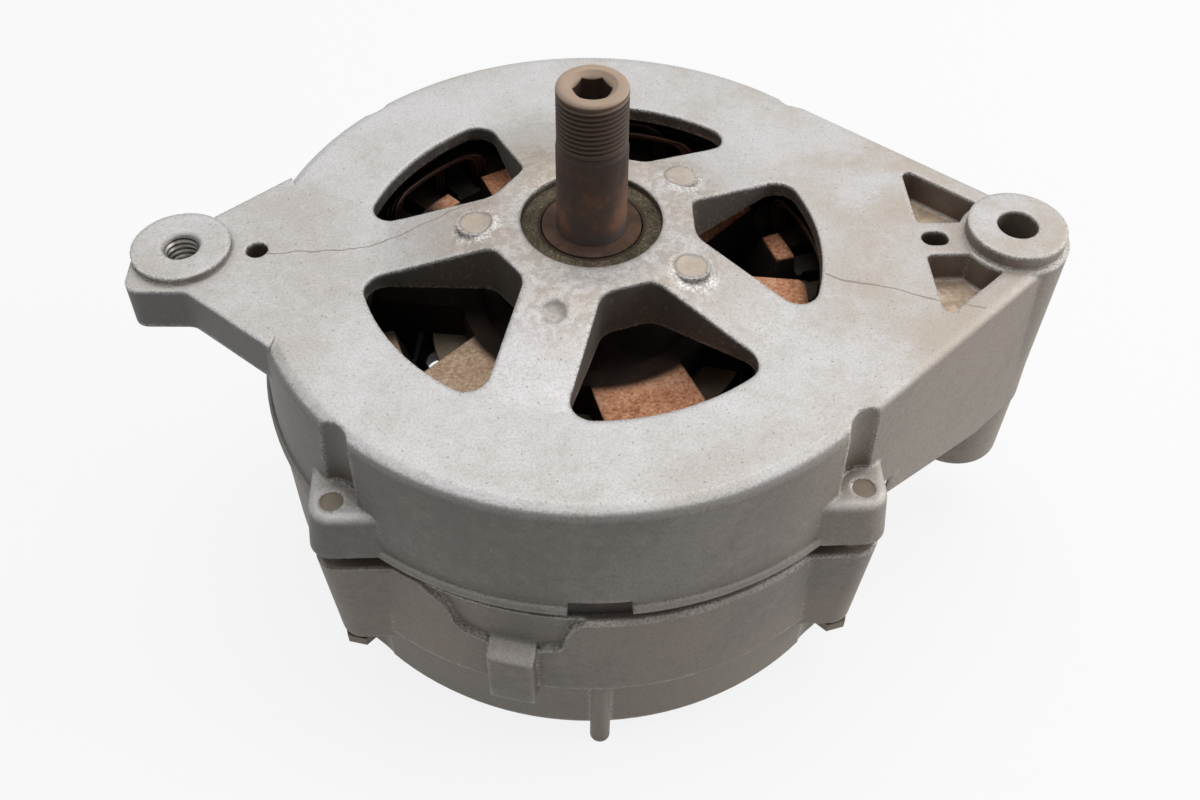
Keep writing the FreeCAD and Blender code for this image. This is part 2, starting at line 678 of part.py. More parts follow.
def drive_end_frame():
    """The whole front casting."""
    top = d.rim_fillet
    fall = (d.hub_rise - 0.9) / (d.slope_end - d.hub_flat)
    outside = turned("front_drum", [
        (0, front_edge), (d.drum_radius + d.lip, front_edge),
        (d.drum_radius + d.lip, front_edge + d.lip_height - d.lip_bevel),
        (d.drum_radius + d.lip - d.lip_bevel, front_edge + d.lip_height),
        (d.drum_radius - 0.1, front_edge + d.lip_height),
        (d.rim_radius, d.ring_face - top), (d.rim_radius - 0.3 * top, d.ring_face - 0.3 * top),
        (d.rim_radius - top, d.ring_face), (d.slope_end + 4, d.ring_face),
        (d.slope_end, d.ring_face + 0.4), (d.slope_end - 4, d.ring_face + 1.1 + fall),
        (d.hub_flat + 3, hub_face - 0.8), (d.hub_flat + 1.2, hub_face - 0.25), (d.hub_flat - 1, hub_face),
        (0, hub_face)])
    inside = turned("front_hollow", [
        (0, front_edge - 1), (d.core_radius, front_edge - 1), (d.core_radius, stack_high),
        (drum_inner, stack_high), (drum_inner - 0.8, ring_under), (d.slope_radius, ring_under),
        (d.hub_radius, bearing_low), (0, bearing_low)])
    seat = cylinder("front_bearing_seat", d.bearing_outer, bearing_low - 1, bearing_high)
    opening = cylinder("front_bearing_opening", d.bearing_open, bearing_low, hub_face + 1)
    ear, pad = front_ear()
    solids = [outside, front_lugs(), ear, pad, front_foot()]
    cutters = [inside, seat, opening]
    cutters += [window(number) for number in range(int(float(d.spokes)))]
    for number, angle in enumerate(bolt_angles):
        x, y = polar(d.bolt_circle, angle)
        cutters.append(cylinder("front_bolt_hole_%d" % number, d.bolt_shank, front_edge - 1,
                                lug_top + 1, x, y))
        cutters.append(cylinder("bolt_channel_%d" % number, d.channel_radius, lug_top,
                                d.ring_face + 1, x, y))
    cutters.append(cylinder("foot_through", d.foot_bore, d.lug_base - 1, hub_face, d.foot_reach))
    cutters.append(cylinder("ear_thread", d.ear_tap, d.ring_face - d.ear_thick - 1, hub_face,
                            -d.ear_reach))
    pad_top = d.ring_face + d.pad_rise
    cutters.append(solid("Cone", "ear_countersink", (-d.ear_reach, 0, pad_top - d.ear_sink),
                         Radius1=d.ear_tap, Radius2=d.ear_tap + 2 * d.ear_sink, Height=2 * d.ear_sink))
    cutters.append(cylinder("ear_pin_hole", d.ear_pin, d.ring_face - d.ear_thick - 1, hub_face,
                            -d.ear_pin_reach))
    shelf = d.ring_face - d.pocket_depth
    near, far = d.pocket_start + d.slot_near, d.pocket_start + d.slot_far
    slot = block("foot_slot_bar", (near, -d.rib_slot, shelf - 5), (far, d.rib_slot, hub_face))
    ends = [cylinder("foot_slot_end_%d" % i, d.rib_slot, shelf - 5, hub_face, x)
            for i, x in enumerate((near, far))]
    cutters += [slot] + ends
    reach = d.drum_radius + d.lip + d.frame_clear
    room = d.lug_half + d.frame_clear
    below = cylinder("rear_frame_room", reach, d.lug_base - 5, front_edge)
    corner_room = block("rear_lug_room", (-room, -room, d.lug_base - 5), (room, room, front_edge))
    cutters += [below, corner_room]
    for i, angle in enumerate(retainer_angles):
        cutters.append(cylinder("retainer_tap_%d" % i, d.small_screw, bearing_low - 1, bearing_low + 7,
                                *polar(d.retainer_bolts, angle)))
    dimple_level = hub_face - (d.dimple_reach - d.hub_flat) * fall + d.dimple_radius - d.dimple_depth
    cutters.append(solid("Sphere", "dimple", (*polar(d.dimple_reach, d.dimple_angle), dimple_level),
                         Radius=d.dimple_radius))
    cutters.append(sector("lip_notch", d.core_radius - 1, d.drum_radius + 5, front_edge - 1,
                          front_edge + d.lip_height + d.notch_rise, d.notch_start, d.notch_sweep))
    whole = cut("drive_end_casting", fuse("drive_end_blank", *solids), *cutters)
    studs = [cylinder("mark_%d" % i, d.mark_size, bearing_high - 3, hub_face - d.mark_drop,
                      *polar(d.mark_radius, angle)) for i, angle in enumerate(retainer_angles)]
    return fuse("drive_end", whole, *studs)


# Rear frame. A deep drum with an end wall, the boss of the rear bearing, vents and a sunken well
# for the output stud.
def vent(number):
    """One slot through the rear wall, with round ends."""
    low, high = drum_foot - 1, wall_top + 1
    angle = 360 * number / d.vent_count
    ends = [cylinder("vent_end_%d_%d" % (number, i), d.vent_half, low, high, *polar(reach, angle))
            for i, reach in enumerate((d.vent_inner, d.vent_outer))]
    bar = radial("vent_bar_%d" % number, angle, d.vent_inner, d.vent_outer, d.vent_half, low, high)
    return fuse("vent_%d" % number, bar, *ends)


def rear_lugs():
    """The rear counterpart of the front lugs, wider towards the joint."""
    half = d.lug_half - d.lug_slack - (d.rear_edge - d.lug_base) * tangent(d.rear_draft)
    square = [(half, -half), (half, half), (-half, half), (-half, -half)]
    blank = prism("rear_lug_block", square, d.lug_base, d.rear_edge, -d.rear_draft)
    corners = rounded("rear_lug_corners", blank, d.lug_corner, upright)
    level = float(d.lug_base)
    return rounded("rear_lug_ends", corners, d.lug_round,
                   lambda edge: all(abs(v.Z - level) < 0.01 for v in edge.Vertexes))


def rear_tab():
    """The cast tab on the front of the rear frame, blended into the recess above it."""
    back = d.drum_radius - 4
    low = d.lug_base + 0.5
    side = [(back, low), (d.tab_radius, low), (d.tab_radius, d.tab_top - d.tab_slope),
            (d.drum_radius, d.tab_top), (d.drum_radius - 1.1, d.tab_top + 0.9),
            (d.drum_radius - 1.9, d.tab_top + 3), (back, d.tab_top + 3)]
    tab = body("rear_tab")
    feature = tab.newObject("PartDesign::Pad", "rear_tab_raised")
    feature.Profile = sketch(tab, "rear_tab_outline", "XZ_Plane", side)
    bind(feature, "Length", d.tab_width)
    feature.Midplane = True
    outer = float(d.tab_radius) - 0.01
    soft = rounded("rear_tab_edges", tab, d.tab_edge, lambda edge: all(v.X > outer for v in edge.Vertexes))
    return place(soft, turn=d.tab_angle)


def rear_scallop():
    """The shallow recess above the tab, with a wavy edge."""
    top, low, tab_half = d.rear_edge + 1, d.tab_top - 1, d.tab_width / 2
    side = [(-24, top), (-22, low + 14.7), (-19, low + 13.8), (-17.4, low + 12.6), (-16.2, low + 11),
            (-15.2, low + 8.5), (-14.2, low + 5.5), (-12.8, low + 3.4), (-11, low + 2.4), (-9, low + 2),
            (-tab_half, low + 1.2), (-tab_half, low), (tab_half, low), (tab_half, low + 0.8), (8.4, low + 2),
            (11, low + 2.6), (12, low + 3.8), (12.6, low + 6.5), (13.2, low + 10), (14.4, low + 12.6),
            (16.4, low + 13.8), (18, top)]
    blade = body("scallop_blade")
    feature = blade.newObject("PartDesign::Pad", "scallop_blade_raised")
    feature.Profile = sketch(blade, "scallop_outline", "XZ_Plane", side)
    bind(feature, "Length", d.drum_radius + 5)
    skin = tube("scallop_skin", d.drum_radius - d.recess_depth, d.drum_radius + 5, d.lug_base, top + 1)
    return common("scallop", place(blade, turn=d.tab_angle + 90), skin)


def slip_ring_end_frame():
    """The whole rear casting."""
    corner = 4
    shade = 0.3 * corner
    edge = 0.8
    outside = turned("rear_drum", [
        (0, drum_foot), (d.rear_radius - corner, drum_foot), (d.rear_radius - shade, drum_foot + shade),
        (d.rear_radius, drum_foot + corner), (d.rear_radius, d.drum_step - 1.5),
        (d.drum_radius, d.drum_step + 1), (d.drum_radius, d.rear_edge - edge),
        (d.drum_radius - edge, d.rear_edge), (0, d.rear_edge)])
    inside = turned("rear_hollow", [
        (0, wall_top), (wall_inner - 3, wall_top), (wall_inner, wall_top + 3), (wall_inner, d.drum_step),
        (drum_inner, d.drum_step + 4), (drum_inner, stack_low), (d.core_radius, stack_low),
        (d.core_radius, d.rear_edge + 1), (0, d.rear_edge + 1)])
    ribs = [cylinder("rest_rib_%d" % i, d.rest_rib, 0, d.drum_step, *polar(d.rear_radius - 0.4, 90 * i))
            for i in range(4)]
    shell = cut("rear_shell", fuse("rear_blank", outside, rear_lugs(), *ribs), inside, rear_scallop())
    boss = cylinder("rear_boss", d.boss_radius, 0, d.boss_height)
    well_at = polar(d.well_reach, d.well_angle)
    well = cylinder("stud_well", d.well_radius + d.well_wall, drum_foot, well_top, *well_at)
    posts = [cylinder("brush_post_%d" % i, d.post_radius, drum_foot, post_top, *at)
             for i, at in enumerate(brush_posts)]
    cutters = [
        cylinder("rear_bearing_bore", d.cup_radius, -1, cup_end),
        cylinder("rear_shaft_hole", d.shaft_radius + 1, 0, d.boss_height + 1),
        cylinder("stud_well_hollow", d.well_radius, drum_foot - 1, well_top - d.well_wall, *well_at),
        cylinder("stud_hole", d.stud_body + 1.8, drum_foot, well_top + 1, *well_at),
        block("connector_window", (-d.drum_radius, -9, wall_top + 2), (-wall_inner + 3, 9, wall_top + 12)),
        cylinder("clamp_hole", d.small_screw, drum_foot - 1, wall_top + 1,
                 *polar(clamp_reach, d.capacitor_angle)),
    ]
    cutters += [vent(number) for number in VENTS]
    for i, angle in enumerate(bolt_angles):
        at = polar(d.bolt_circle, angle)
        cutters.append(cylinder("rear_bolt_hole_%d" % i, d.bolt_shank + d.bolt_slack, drum_foot,
                                d.rear_edge + 1, *at))
        cutters.append(cylinder("bolt_head_room_%d" % i, d.bolt_room, 0, d.lug_base, *at))
    cutters += [cylinder("post_hole_%d" % i, d.small_screw, wall_top, post_top + 1, *at)
                for i, at in enumerate(brush_posts)]
    cutters += [cylinder("regulator_hole_%d" % i, d.small_screw, drum_foot - 1, wall_top + 1, *at)
                for i, at in enumerate(regulator_bolts)]
    return cut("rear_casting", fuse("rear_whole", shell, rear_tab(), boss, well, *posts), *cutters)


def through_bolts():
    """Four long bolts from below the rear lugs to the tops of the front lugs."""
    bolts = []
    for i, angle in enumerate(bolt_angles):
        x, y = polar(d.bolt_circle, angle)
        head = solid("Prism", "bolt_head_%d" % i, (x, y, d.lug_base - d.bolt_head), angle,
                     Circumradius=d.bolt_flats / math.sqrt(3), Height=d.bolt_head)
        shank = cylinder("bolt_shank_%d" % i, d.bolt_shank, d.lug_base, lug_top - 0.2, x, y)
        bolts.append(fuse("bolt_%d" % i, head, shank))
    return group("bolts", *bolts)


# Stator. A ring of laminations with one slot for each bar of three wave wound phases.
def stator_core():
    """The laminated ring with its slots."""
    stack = ring("stack_ring", d.bore_radius, d.core_radius, stack_low, stack_high)
    half, mouth = d.slot_width / 2, d.slot_mouth / 2
    start, neck = d.bore_radius - 1, d.bore_radius + 1.4
    wide, deep = d.bore_radius + 2, d.bore_radius + d.slot_depth
    near_side = [(start, mouth), (neck, mouth), (wide, half), (deep, half)]
    cutter = body("slots")
    first = padded(cutter, "slot", near_side + mirror_y(near_side[::-1]), stack_low - 1, stack_high + 1)
    repeated(cutter, "slot_ring", [first], 6 * d.pole_pairs)
    return cut("stack", stack, cutter)


def stator_phase(number):
    """One phase: bars through every third slot, joined in a wave by arcs beyond both ends."""
    name = "phase_%d" % number
    bars = 2 * d.pole_pairs
    half = d.slot_width / 2 - d.wire_clear
    deep = coil_floor + 3 * coil_layer
    low = coil_floor + number * coil_layer
    high = low + coil_layer - 0.5
    coil = body(name)
    bar = padded(coil, name + "_bar", [(coil_floor, -half), (deep, -half), (deep, half), (coil_floor, half)],
                 stack_low - 2, stack_high + 2)
    riser = padded(coil, name + "_riser", [(low, -half), (high, -half), (high, half), (low, half)],
                   stack_low - d.coil_rise, stack_high + d.coil_rise)
    repeated(coil, name + "_bars", [bar, riser], bars)
    for end, bottom, backwards in (("front", stack_high + d.coil_rise - 5, False),
                                   ("rear", stack_low - d.coil_rise, True)):
        arc = revolved(coil, "%s_%s_arc" % (name, end),
                       [(low, bottom), (high, bottom), (high, bottom + 5), (low, bottom + 5)])
        bind(arc, "Angle", 360 / bars)
        arc.Reversed = backwards
        repeated(coil, "%s_%s_arcs" % (name, end), [arc], d.pole_pairs, "V_Axis")
    return place(coil, turn=number * 360 / (3 * d.pole_pairs))


# Rotor. Two claw poles face each other round the field winding, their claws interleaved.
def claw_pole(name, side):
    """A pole disc with its claws, which taper towards the other pole."""
    def level(distance):
        return stack_middle + side * distance

    def claw_plan(inner, half):
        """An outline that narrows a little towards the axis, past the finished rotor."""
        past = d.rotor_radius + 2
        outline = [(r, half - (d.rotor_radius - r) * d.claw_taper) for r in (inner, past)]
        return outline + mirror_y(outline[::-1])

    near = d.core_gap / 2
    bottom, top = sorted((level(near), level(near + d.pole_thick)), key=float)
    pole = body(name + "_body")
    revolved(pole, name + "_disc", [(d.rotor_bore, bottom), (d.valley_radius, bottom),
                                    (d.valley_radius, top), (d.rotor_bore, top)])
    lobe = padded(pole, name + "_lobe", claw_plan(d.valley_radius - 6, d.claw_root), bottom, top)
    claw = pole.newObject("PartDesign::AdditiveLoft", name + "_claw")
    claw.Profile = sketch(pole, name + "_root", "XY_Plane", claw_plan(d.claw_inner, d.claw_root),
                          level(near))
    tip = sketch(pole, name + "_tip", "XY_Plane", claw_plan(d.claw_lip, d.claw_tip),
                 level(-d.claw_reach))
    claw.Sections = [(tip, [""])]
    claw.Ruled = True
    repeated(pole, name + "_claws", [lobe, claw], d.pole_pairs)
    past = d.rotor_radius + 9
    face, inmost, outmost = level(near + d.pole_thick), level(-d.core_length * 2), level(d.core_length * 2)
    grooved(pole, name + "_trim", [
        (d.rotor_radius, inmost), (past, inmost), (past, outmost), (d.rotor_radius - d.claw_bevel, outmost),
        (d.rotor_radius - d.claw_bevel, face), (d.rotor_radius, level(near + d.pole_thick - d.claw_bevel))])
    dish = level(near + d.pole_thick - d.dish_depth)
    grooved(pole, name + "_dish", [(d.pole_hub, dish), (d.pole_dish, dish),
                                   (d.pole_dish, outmost), (d.pole_hub, outmost)])
    return place(pole, turn=d.rotor_turn + (1 - side) * 90 / d.pole_pairs)


def rotor_shaft():
    """The shaft, with its bearing seats, the groove behind the thread and the hexagon socket."""
    thread_end = nose_end - d.nose_chamfer
    groove = thread_end - d.thread_length
    neck = d.shaft_radius - 0.7
    start = d.cup_start - 1
    bar = turned("shaft_bar", [
        (0, start), (d.shaft_radius - 0.8, start), (d.shaft_radius, d.cup_start),
        (d.shaft_radius, rotor_low), (d.rotor_bore, rotor_low), (d.rotor_bore, rotor_high),
        (d.shaft_radius, rotor_high), (d.shaft_radius, groove - d.undercut),
        (neck, groove - d.undercut + 0.3), (neck, groove), (d.thread_crest, groove + 0.6),
        (d.thread_crest, thread_end), (d.thread_crest - d.nose_chamfer, nose_end), (0, nose_end)])
    hexagon = solid("Prism", "socket_hexagon", (0, 0, nose_end - d.socket_depth),
                    Circumradius=d.socket_flats / math.sqrt(3), Height=d.socket_depth + 1)
    mouth = solid("Cone", "socket_cone", (0, 0, nose_end - 1.2), Height=1.3,
                  Radius1=d.socket_flats / 2, Radius2=d.socket_mouth)
    return cut("shaft_with_socket", bar, hexagon, mouth)


def rotor():
    """Everything that turns with the shaft."""
    node("rotor_shaft", rotor_shaft())
    node("front_claw_pole", claw_pole("front_pole", 1))
    node("rear_claw_pole", claw_pole("rear_pole", -1))
    node("rotor_core", ring("pole_core_ring", d.rotor_bore, d.pole_core, core_low, core_high))
    wall, rim = d.bobbin_wall, d.coil_radius + 0.5
    node("field_bobbin", turned("bobbin", [
        (d.pole_core, core_low), (rim, core_low), (rim, core_low + wall),
        (d.pole_core + wall, core_low + wall),
        (d.pole_core + wall, core_high - wall), (rim, core_high - wall), (rim, core_high),
        (d.pole_core, core_high)]))
    node("field_winding", ring("field_coil", d.pole_core + wall, d.coil_radius, core_low + wall,
                               core_high - wall))
    node("rotor_spacer", ring("spacer_ring", d.shaft_radius, d.land_inner, rotor_high, bearing_low))
    node("slip_ring_hub", ring("slip_hub", d.shaft_radius, d.ring_hub, d.slip_start - 1, rotor_low))
    for label, number in (("rear_slip_ring", 0), ("front_slip_ring", 1)):
        low = d.slip_start + number * d.slip_pitch
        node(label, ring(label + "_turning", d.ring_hub, d.slip_radius, low, low + d.slip_width))


# Bearings. A sealed ball bearing in the hub and a drawn cup with rollers in the rear boss.
def front_bearing():
    """The rings, balls, cage and seals of the front bearing."""
    middle = (bearing_low + bearing_high) / 2
    pitch = (d.land_outer + d.land_inner) / 2 - 0.35
    groove = d.ball_radius + d.ball_slack
    races = [solid("Torus", "race_%d" % i, (0, 0, middle), Radius1=pitch, Radius2=groove) for i in range(2)]
    outer = tube("bearing_outer_blank", d.land_outer, d.bearing_outer, bearing_low, bearing_high)
    inner = tube("bearing_inner_blank", d.shaft_radius, d.land_inner, bearing_low, bearing_high)
    node("front_bearing_outer_ring", cut("bearing_outer_raced", outer, races[0]))
    node("front_bearing_inner_ring", cut("bearing_inner_raced", inner, races[1]))
    balls = spread("Sphere", "ball", d.ball_count, pitch, middle, Radius=d.ball_radius)
    node("front_bearing_balls", group("balls", *balls))
    pockets = spread("Cylinder", "ball_pocket", d.ball_count, pitch - 3, middle, Radius=groove, Height=6)
    for i, bore in enumerate(pockets):
        outwards = Rotation(Vector(0, 0, 1), 360 * i / len(pockets)) * Rotation(Vector(0, 1, 0), 90)
        bore.Placement = Placement(bore.Placement.Base, outwards)
    half = d.ball_radius + 0.7
    band = tube("cage_band", pitch - 0.6, pitch + 0.6, middle - half, middle + half)
    node("front_bearing_cage", cut("cage", band, *pockets))
    for label, high in (("front_bearing_seal", bearing_high - 0.2),
                        ("inner_bearing_seal", bearing_low + 0.2 + d.seal_thick)):
        node(label, ring(label + "_disc", d.land_inner + 0.35, d.land_outer, high - d.seal_thick, high))


def bearing_retainer():
    """The plate that holds the front bearing in the hub, and its screws."""
    low = bearing_low - d.retainer_thick
    spots = [polar(d.retainer_bolts, angle) for angle in retainer_angles]
    holes = [cylinder("retainer_hole_%d" % i, d.small_screw + 0.2, low - 1, bearing_low + 1, *at)
             for i, at in enumerate(spots)]
    disc = ring("retainer_disc", d.land_outer, d.retainer_radius, low, bearing_low)
    ears = [cylinder("retainer_ear_%d" % i, d.retainer_ear, low, bearing_low, *at)
            for i, at in enumerate(spots)]
    plate = fuse("retainer_plate", disc, *ears)
    node("bearing_retainer", cut("retainer", plate, *holes))
    node("retainer_screws", group("retainer_screw_set", *[
        screw("retainer_screw_%d" % i, 2.8, 2, low, bearing_low + 7, *at, downwards=False)
        for i, at in enumerate(spots)]))


def rear_bearing():
    """The drawn cup, rollers, cage and plug of the rear bearing."""
    pitch = d.shaft_radius + d.roller_radius + d.ball_slack
    race = pitch + d.roller_radius + d.ball_slack
    low, high = d.cup_start + d.cup_lip, cup_end - d.cup_lip
    node("rear_bearing_cup", turned("rear_cup", [
        (race, low), (race, high), (pitch, high), (pitch, cup_end), (d.cup_radius, cup_end),
        (d.cup_radius, d.cup_start), (pitch, d.cup_start), (pitch, low)]))
    bottom, top = low + 1.2, high - 1.2
    rollers = spread("Cylinder", "roller", d.roller_count, pitch, bottom, Radius=d.roller_radius,
                     Height=top - bottom)
    node("rear_bearing_rollers", group("rollers", *rollers))
    cage = [ring("roller_cage_%d" % i, pitch - 0.6, pitch + 0.6, z, z + 0.8)
            for i, z in enumerate((bottom - 0.9, top + 0.1))]
    cage += [radial("cage_bar_%d" % i, 360 * (i + 0.5) / d.roller_count, pitch - 0.5, pitch + 0.5, 0.5,
                    bottom - 0.5, top + 0.5) for i in range(int(float(d.roller_count)))]
    node("rear_bearing_cage", fuse("roller_cage", *cage))
    node("rear_bearing_plug", cylinder("plug", d.cup_radius, 0, d.plug_thick))


# Brushes, regulator and rectifier, which all sit on the rear wall.
def brush_spring(name, start, end, height):
    """A coil spring between a brush and the end of its guide."""
    path = doc.addObject("Part::Helix", name + "_helix")
    bind(path, "Pitch", (end - start) / 6)
    bind(path, "Height", end - start)
    bind(path, "Radius", d.spring_radius)
    wire = doc.addObject("Part::Circle", name + "_wire")
    bind(wire, "Radius", d.spring_wire)
    bind(wire, "Placement.Base.x", d.spring_radius)
    wire.Placement = Placement(Vector(float(d.spring_radius), 0, 0), Rotation(Vector(1, 0, 0), 90))
    coil = doc.addObject("Part::Sweep", name + "_coil")
    coil.Sections = [wire]
    coil.Spine = (path, ["Edge1"])
    coil.Solid = True
    coil.Frenet = True
    coil.Placement = Placement(Vector(), Rotation(Vector(1, 0, 0), -90))
    bind(coil, "Placement.Base.y", start)
    bind(coil, "Placement.Base.z", height)
    return coil


def brush_gear():
    """The holder with its two sprung brushes, and the screws that hold it on its posts."""
    wide, high = d.brush_width / 2, d.brush_height / 2
    slack = d.brush_slot
    centres = [brush_first, brush_first + d.slip_pitch]
    face = d.slip_radius + d.brush_clear
    tail = face + d.brush_length
    closed = d.guide_end - 2
    ear_top = post_top + 3
    box = block("holder_box", (-d.holder_width / 2, face + 2, post_top),
                (d.holder_width / 2, d.guide_end, centres[1] + high + 1.3))
    out = d.post_spread + d.post_radius
    ears = block("holder_ears", (-out, d.post_reach - d.post_radius, post_top),
                 (out, d.post_reach + d.post_radius, ear_top))
    guides = [block("brush_guide_%d" % i, (-wide - slack, face, z - high - slack),
                    (wide + slack, closed, z + high + slack)) for i, z in enumerate(centres)]
    holes = [cylinder("holder_hole_%d" % i, d.small_screw + 0.3, post_top - 1, ear_top + 1, *at)
             for i, at in enumerate(brush_posts)]
    node("brush_holder", cut("holder", fuse("holder_blank", box, ears), *guides, *holes))
    for label, z in zip(("rear_brush", "front_brush"), centres):
        bar = block(label + "_bar", (-wide, d.slip_radius - 2, z - high), (wide, tail, z + high))
        curve = cylinder(label + "_face", face, z - high - 1, z + high + 1)
        node(label, cut(label + "_shaped", bar, curve))
        room = d.spring_wire + 0.1
        node(label + "_spring", brush_spring(label, tail + room, closed - room, z))
    node("brush_holder_screws", group("holder_screw_set", *[
        screw("holder_screw_%d" % i, 3.4, 2.4, ear_top, wall_top + 2, *at)
        for i, at in enumerate(brush_posts)]))


def regulator():
    """The regulator on its base plate, with two blades in the connector window."""
    x0, x1 = -d.regulator_outer, -d.regulator_inner
    base_top = wall_top + 2
    wide = d.regulator_spread + 4
    base = block("regulator_base_blank", (x0, -wide, wall_top), (x1, wide, base_top))
    holes = [cylinder("regulator_base_hole_%d" % i, d.small_screw + 0.2, wall_top - 1, base_top + 1, *at)
             for i, at in enumerate(regulator_bolts)]
    node("regulator_base", cut("regulator_plate", base, *holes))
    half = d.regulator_half - 2
    plan = [(x0 + 1, -half), (x1 - 1, -half), (x1 - 1, half), (x0 + 1, half)]
    case = prism("regulator_case_blank", plan, base_top, base_top + d.regulator_height, 3)
    level = base_top + d.regulator_height / 2 - 0.4
    blades = [block("blade_%d" % i, (-wall_inner - 1, y - 3.15, level), (x0 + 3, y + 3.15, level + 0.8))
              for i, y in enumerate((-4.7, 4.7))]
    node("voltage_regulator", cut("regulator_body", rounded("regulator_case", case, 2, upright), *blades))
    node("regulator_screws", group("regulator_screw_set", *[
        screw("regulator_screw_%d" % i, 3.3, 2.2, base_top, drum_foot, *at)
        for i, at in enumerate(regulator_bolts)]))
    node("regulator_blades", group("blade_pair", *blades))


def capacitor():
    """The can capacitor, its clamp and the clamp's screw."""
    angle = d.capacitor_angle
    at, spot = polar(d.capacitor_reach, angle), polar(clamp_reach, angle)
    node("capacitor", cylinder("capacitor_can", d.capacitor_radius, wall_top,
                               wall_top + d.capacitor_height, *at))
    band = cylinder("clamp_band", d.capacitor_radius + 0.9, wall_top, wall_top + 7, *at)
    foot = radial("clamp_foot", angle, clamp_reach - 4, d.capacitor_reach, 4, wall_top, wall_top + 1.2)
    room = cylinder("clamp_room", d.capacitor_radius, wall_top - 1, wall_top + 8, *at)
    hole = cylinder("clamp_screw_room", d.small_screw + 0.2, wall_top - 1, wall_top + 2, *spot)
    node("capacitor_clamp", cut("clamp", fuse("clamp_blank", band, foot), room, hole))
    node("capacitor_screw", screw("clamp_screw", 3, 2, wall_top + 1.2, drum_foot, *spot))


def nut(name, flats, inner, bottom, top, at):
    """A hexagon nut on a stud."""
    blank = solid("Prism", name + "_blank", (*at, bottom), Circumradius=flats / math.sqrt(3),
                  Height=top - bottom)
    return cut(name, blank, cylinder(name + "_hole", inner, bottom - 1, top + 1, *at))


def grounded_side():
    """The heat sink on the wall, its diodes, and the terminals where the phases arrive."""
    top = wall_top + d.sink_plate
    node("negative_heat_sink", sector("negative_sink", d.sink_inner, d.sink_outer, wall_top, top, -80, 66))
    node("negative_diodes", group("negative_diode_set", *[
        cylinder("negative_diode_%d" % i, d.diode_radius, top, top + d.diode_height,
                 *polar(d.sink_inner + 9, angle)) for i, angle in enumerate((-68, -47, -26))]))
    strip_top, trio_top = top + 3.5, top + 7.5
    nut_top, stud_top = trio_top + 3, trio_top + 8
    spots = [polar(coil_floor + (i + 0.5) * coil_layer, angle) for i, angle in enumerate((-70, -47, -25))]
    strip = sector("strip_blank", d.sink_outer - 12, wall_inner - 0.5, top, strip_top, -76, 60)
    trio = sector("trio_blank", d.sink_outer - 11, wall_inner - 1.5, strip_top, trio_top, -74, 54)
    inner = d.phase_stud
    node("terminal_strip", cut("strip", strip, *[
        cylinder("strip_hole_%d" % i, inner, top + 0.5, strip_top + 1, *at) for i, at in enumerate(spots)]))
    node("diode_trio", cut("trio", trio, *[
        cylinder("trio_hole_%d" % i, inner, strip_top - 1, trio_top + 1, *at)
        for i, at in enumerate(spots)]))
    node("phase_studs", group("phase_stud_set", *[
        cylinder("phase_stud_%d" % i, inner, top + 0.5, stud_top, *at) for i, at in enumerate(spots)]))
    node("phase_nuts", group("phase_nut_set", *[
        nut("phase_nut_%d" % i, 6.2, inner, trio_top, nut_top, at) for i, at in enumerate(spots)]))
    node("stator_leads", group("stator_lead_set", *[
        cylinder("stator_lead_%d" % i, 1.2, stud_top, stack_low - d.coil_rise, *at)
        for i, at in enumerate(spots)]))


def live_side():
    """The finned heat sink on the output stud, with its diodes, insulators and nut."""
    at = polar(d.well_reach, d.well_angle)
    sheet_top = well_top + 2
    top = sheet_top + d.sink_plate
    fin_top = top + 5
    sheet_blank = sector("insulator_blank", d.sink_inner + 2, d.sink_outer - 4, well_top, sheet_top, -6, 57)
    node("rectifier_insulator", cut("insulator_sheet", sheet_blank,
                                    cylinder("sheet_hole", d.stud_body, well_top - 1, sheet_top + 1, *at)))
    base = sector("positive_base", d.sink_inner, d.sink_outer - 2, sheet_top, top, -8, 61)
    fins = [radial("sink_fin_%d" % i, -4 + 13 * i, d.sink_inner + 16, d.sink_outer - 3, 0.8, top - 1, fin_top)
            for i in range(5)]
    room = cylinder("sink_nut_room", 7.5, top, fin_top + 1, *at)
    hole = cylinder("sink_stud_hole", d.stud_body, sheet_top - 1, top + 1, *at)
    node("positive_heat_sink", cut("positive_sink", fuse("positive_sink_blank", base, *fins), room, hole))
    node("positive_diodes", group("positive_diode_set", *[
        cylinder("positive_diode_%d" % i, d.diode_radius, top, top + d.diode_height,
                 *polar(d.sink_inner + 7, angle)) for i, angle in enumerate((0, 22.5, 45))]))
    ceiling = well_top - d.well_wall
    flange = ceiling - 1.5
    washer = flange - 1
    nut_low = washer - 4.5
    bush = fuse("bush_blank", cylinder("bush_sleeve", d.stud_body + 1.8, ceiling, well_top, *at),
                cylinder("bush_flange", d.stud_body + 4.8, flange, ceiling, *at))
    node("output_insulator", cut("bush", bush, cylinder("bush_hole", d.stud_body, flange - 1,
                                                        well_top + 1, *at)))
    node("output_washer", tube("washer_ring", d.stud_body, d.stud_body + 3.3, washer, flange, *at))
    node("output_nut", nut("output_nut_ring", 10, d.stud_body, nut_low, washer, at))
    step = nut_low - d.stud_step
    bar = fuse("output_bar", cylinder("output_body", d.stud_body, step, top, *at),
               cylinder("output_end", d.stud_radius, d.stud_end, step, *at))
    head = solid("Prism", "output_head", (*at, top), Circumradius=5.8, Height=4)
    node("output_stud", fuse("output_stud_whole", bar, head))


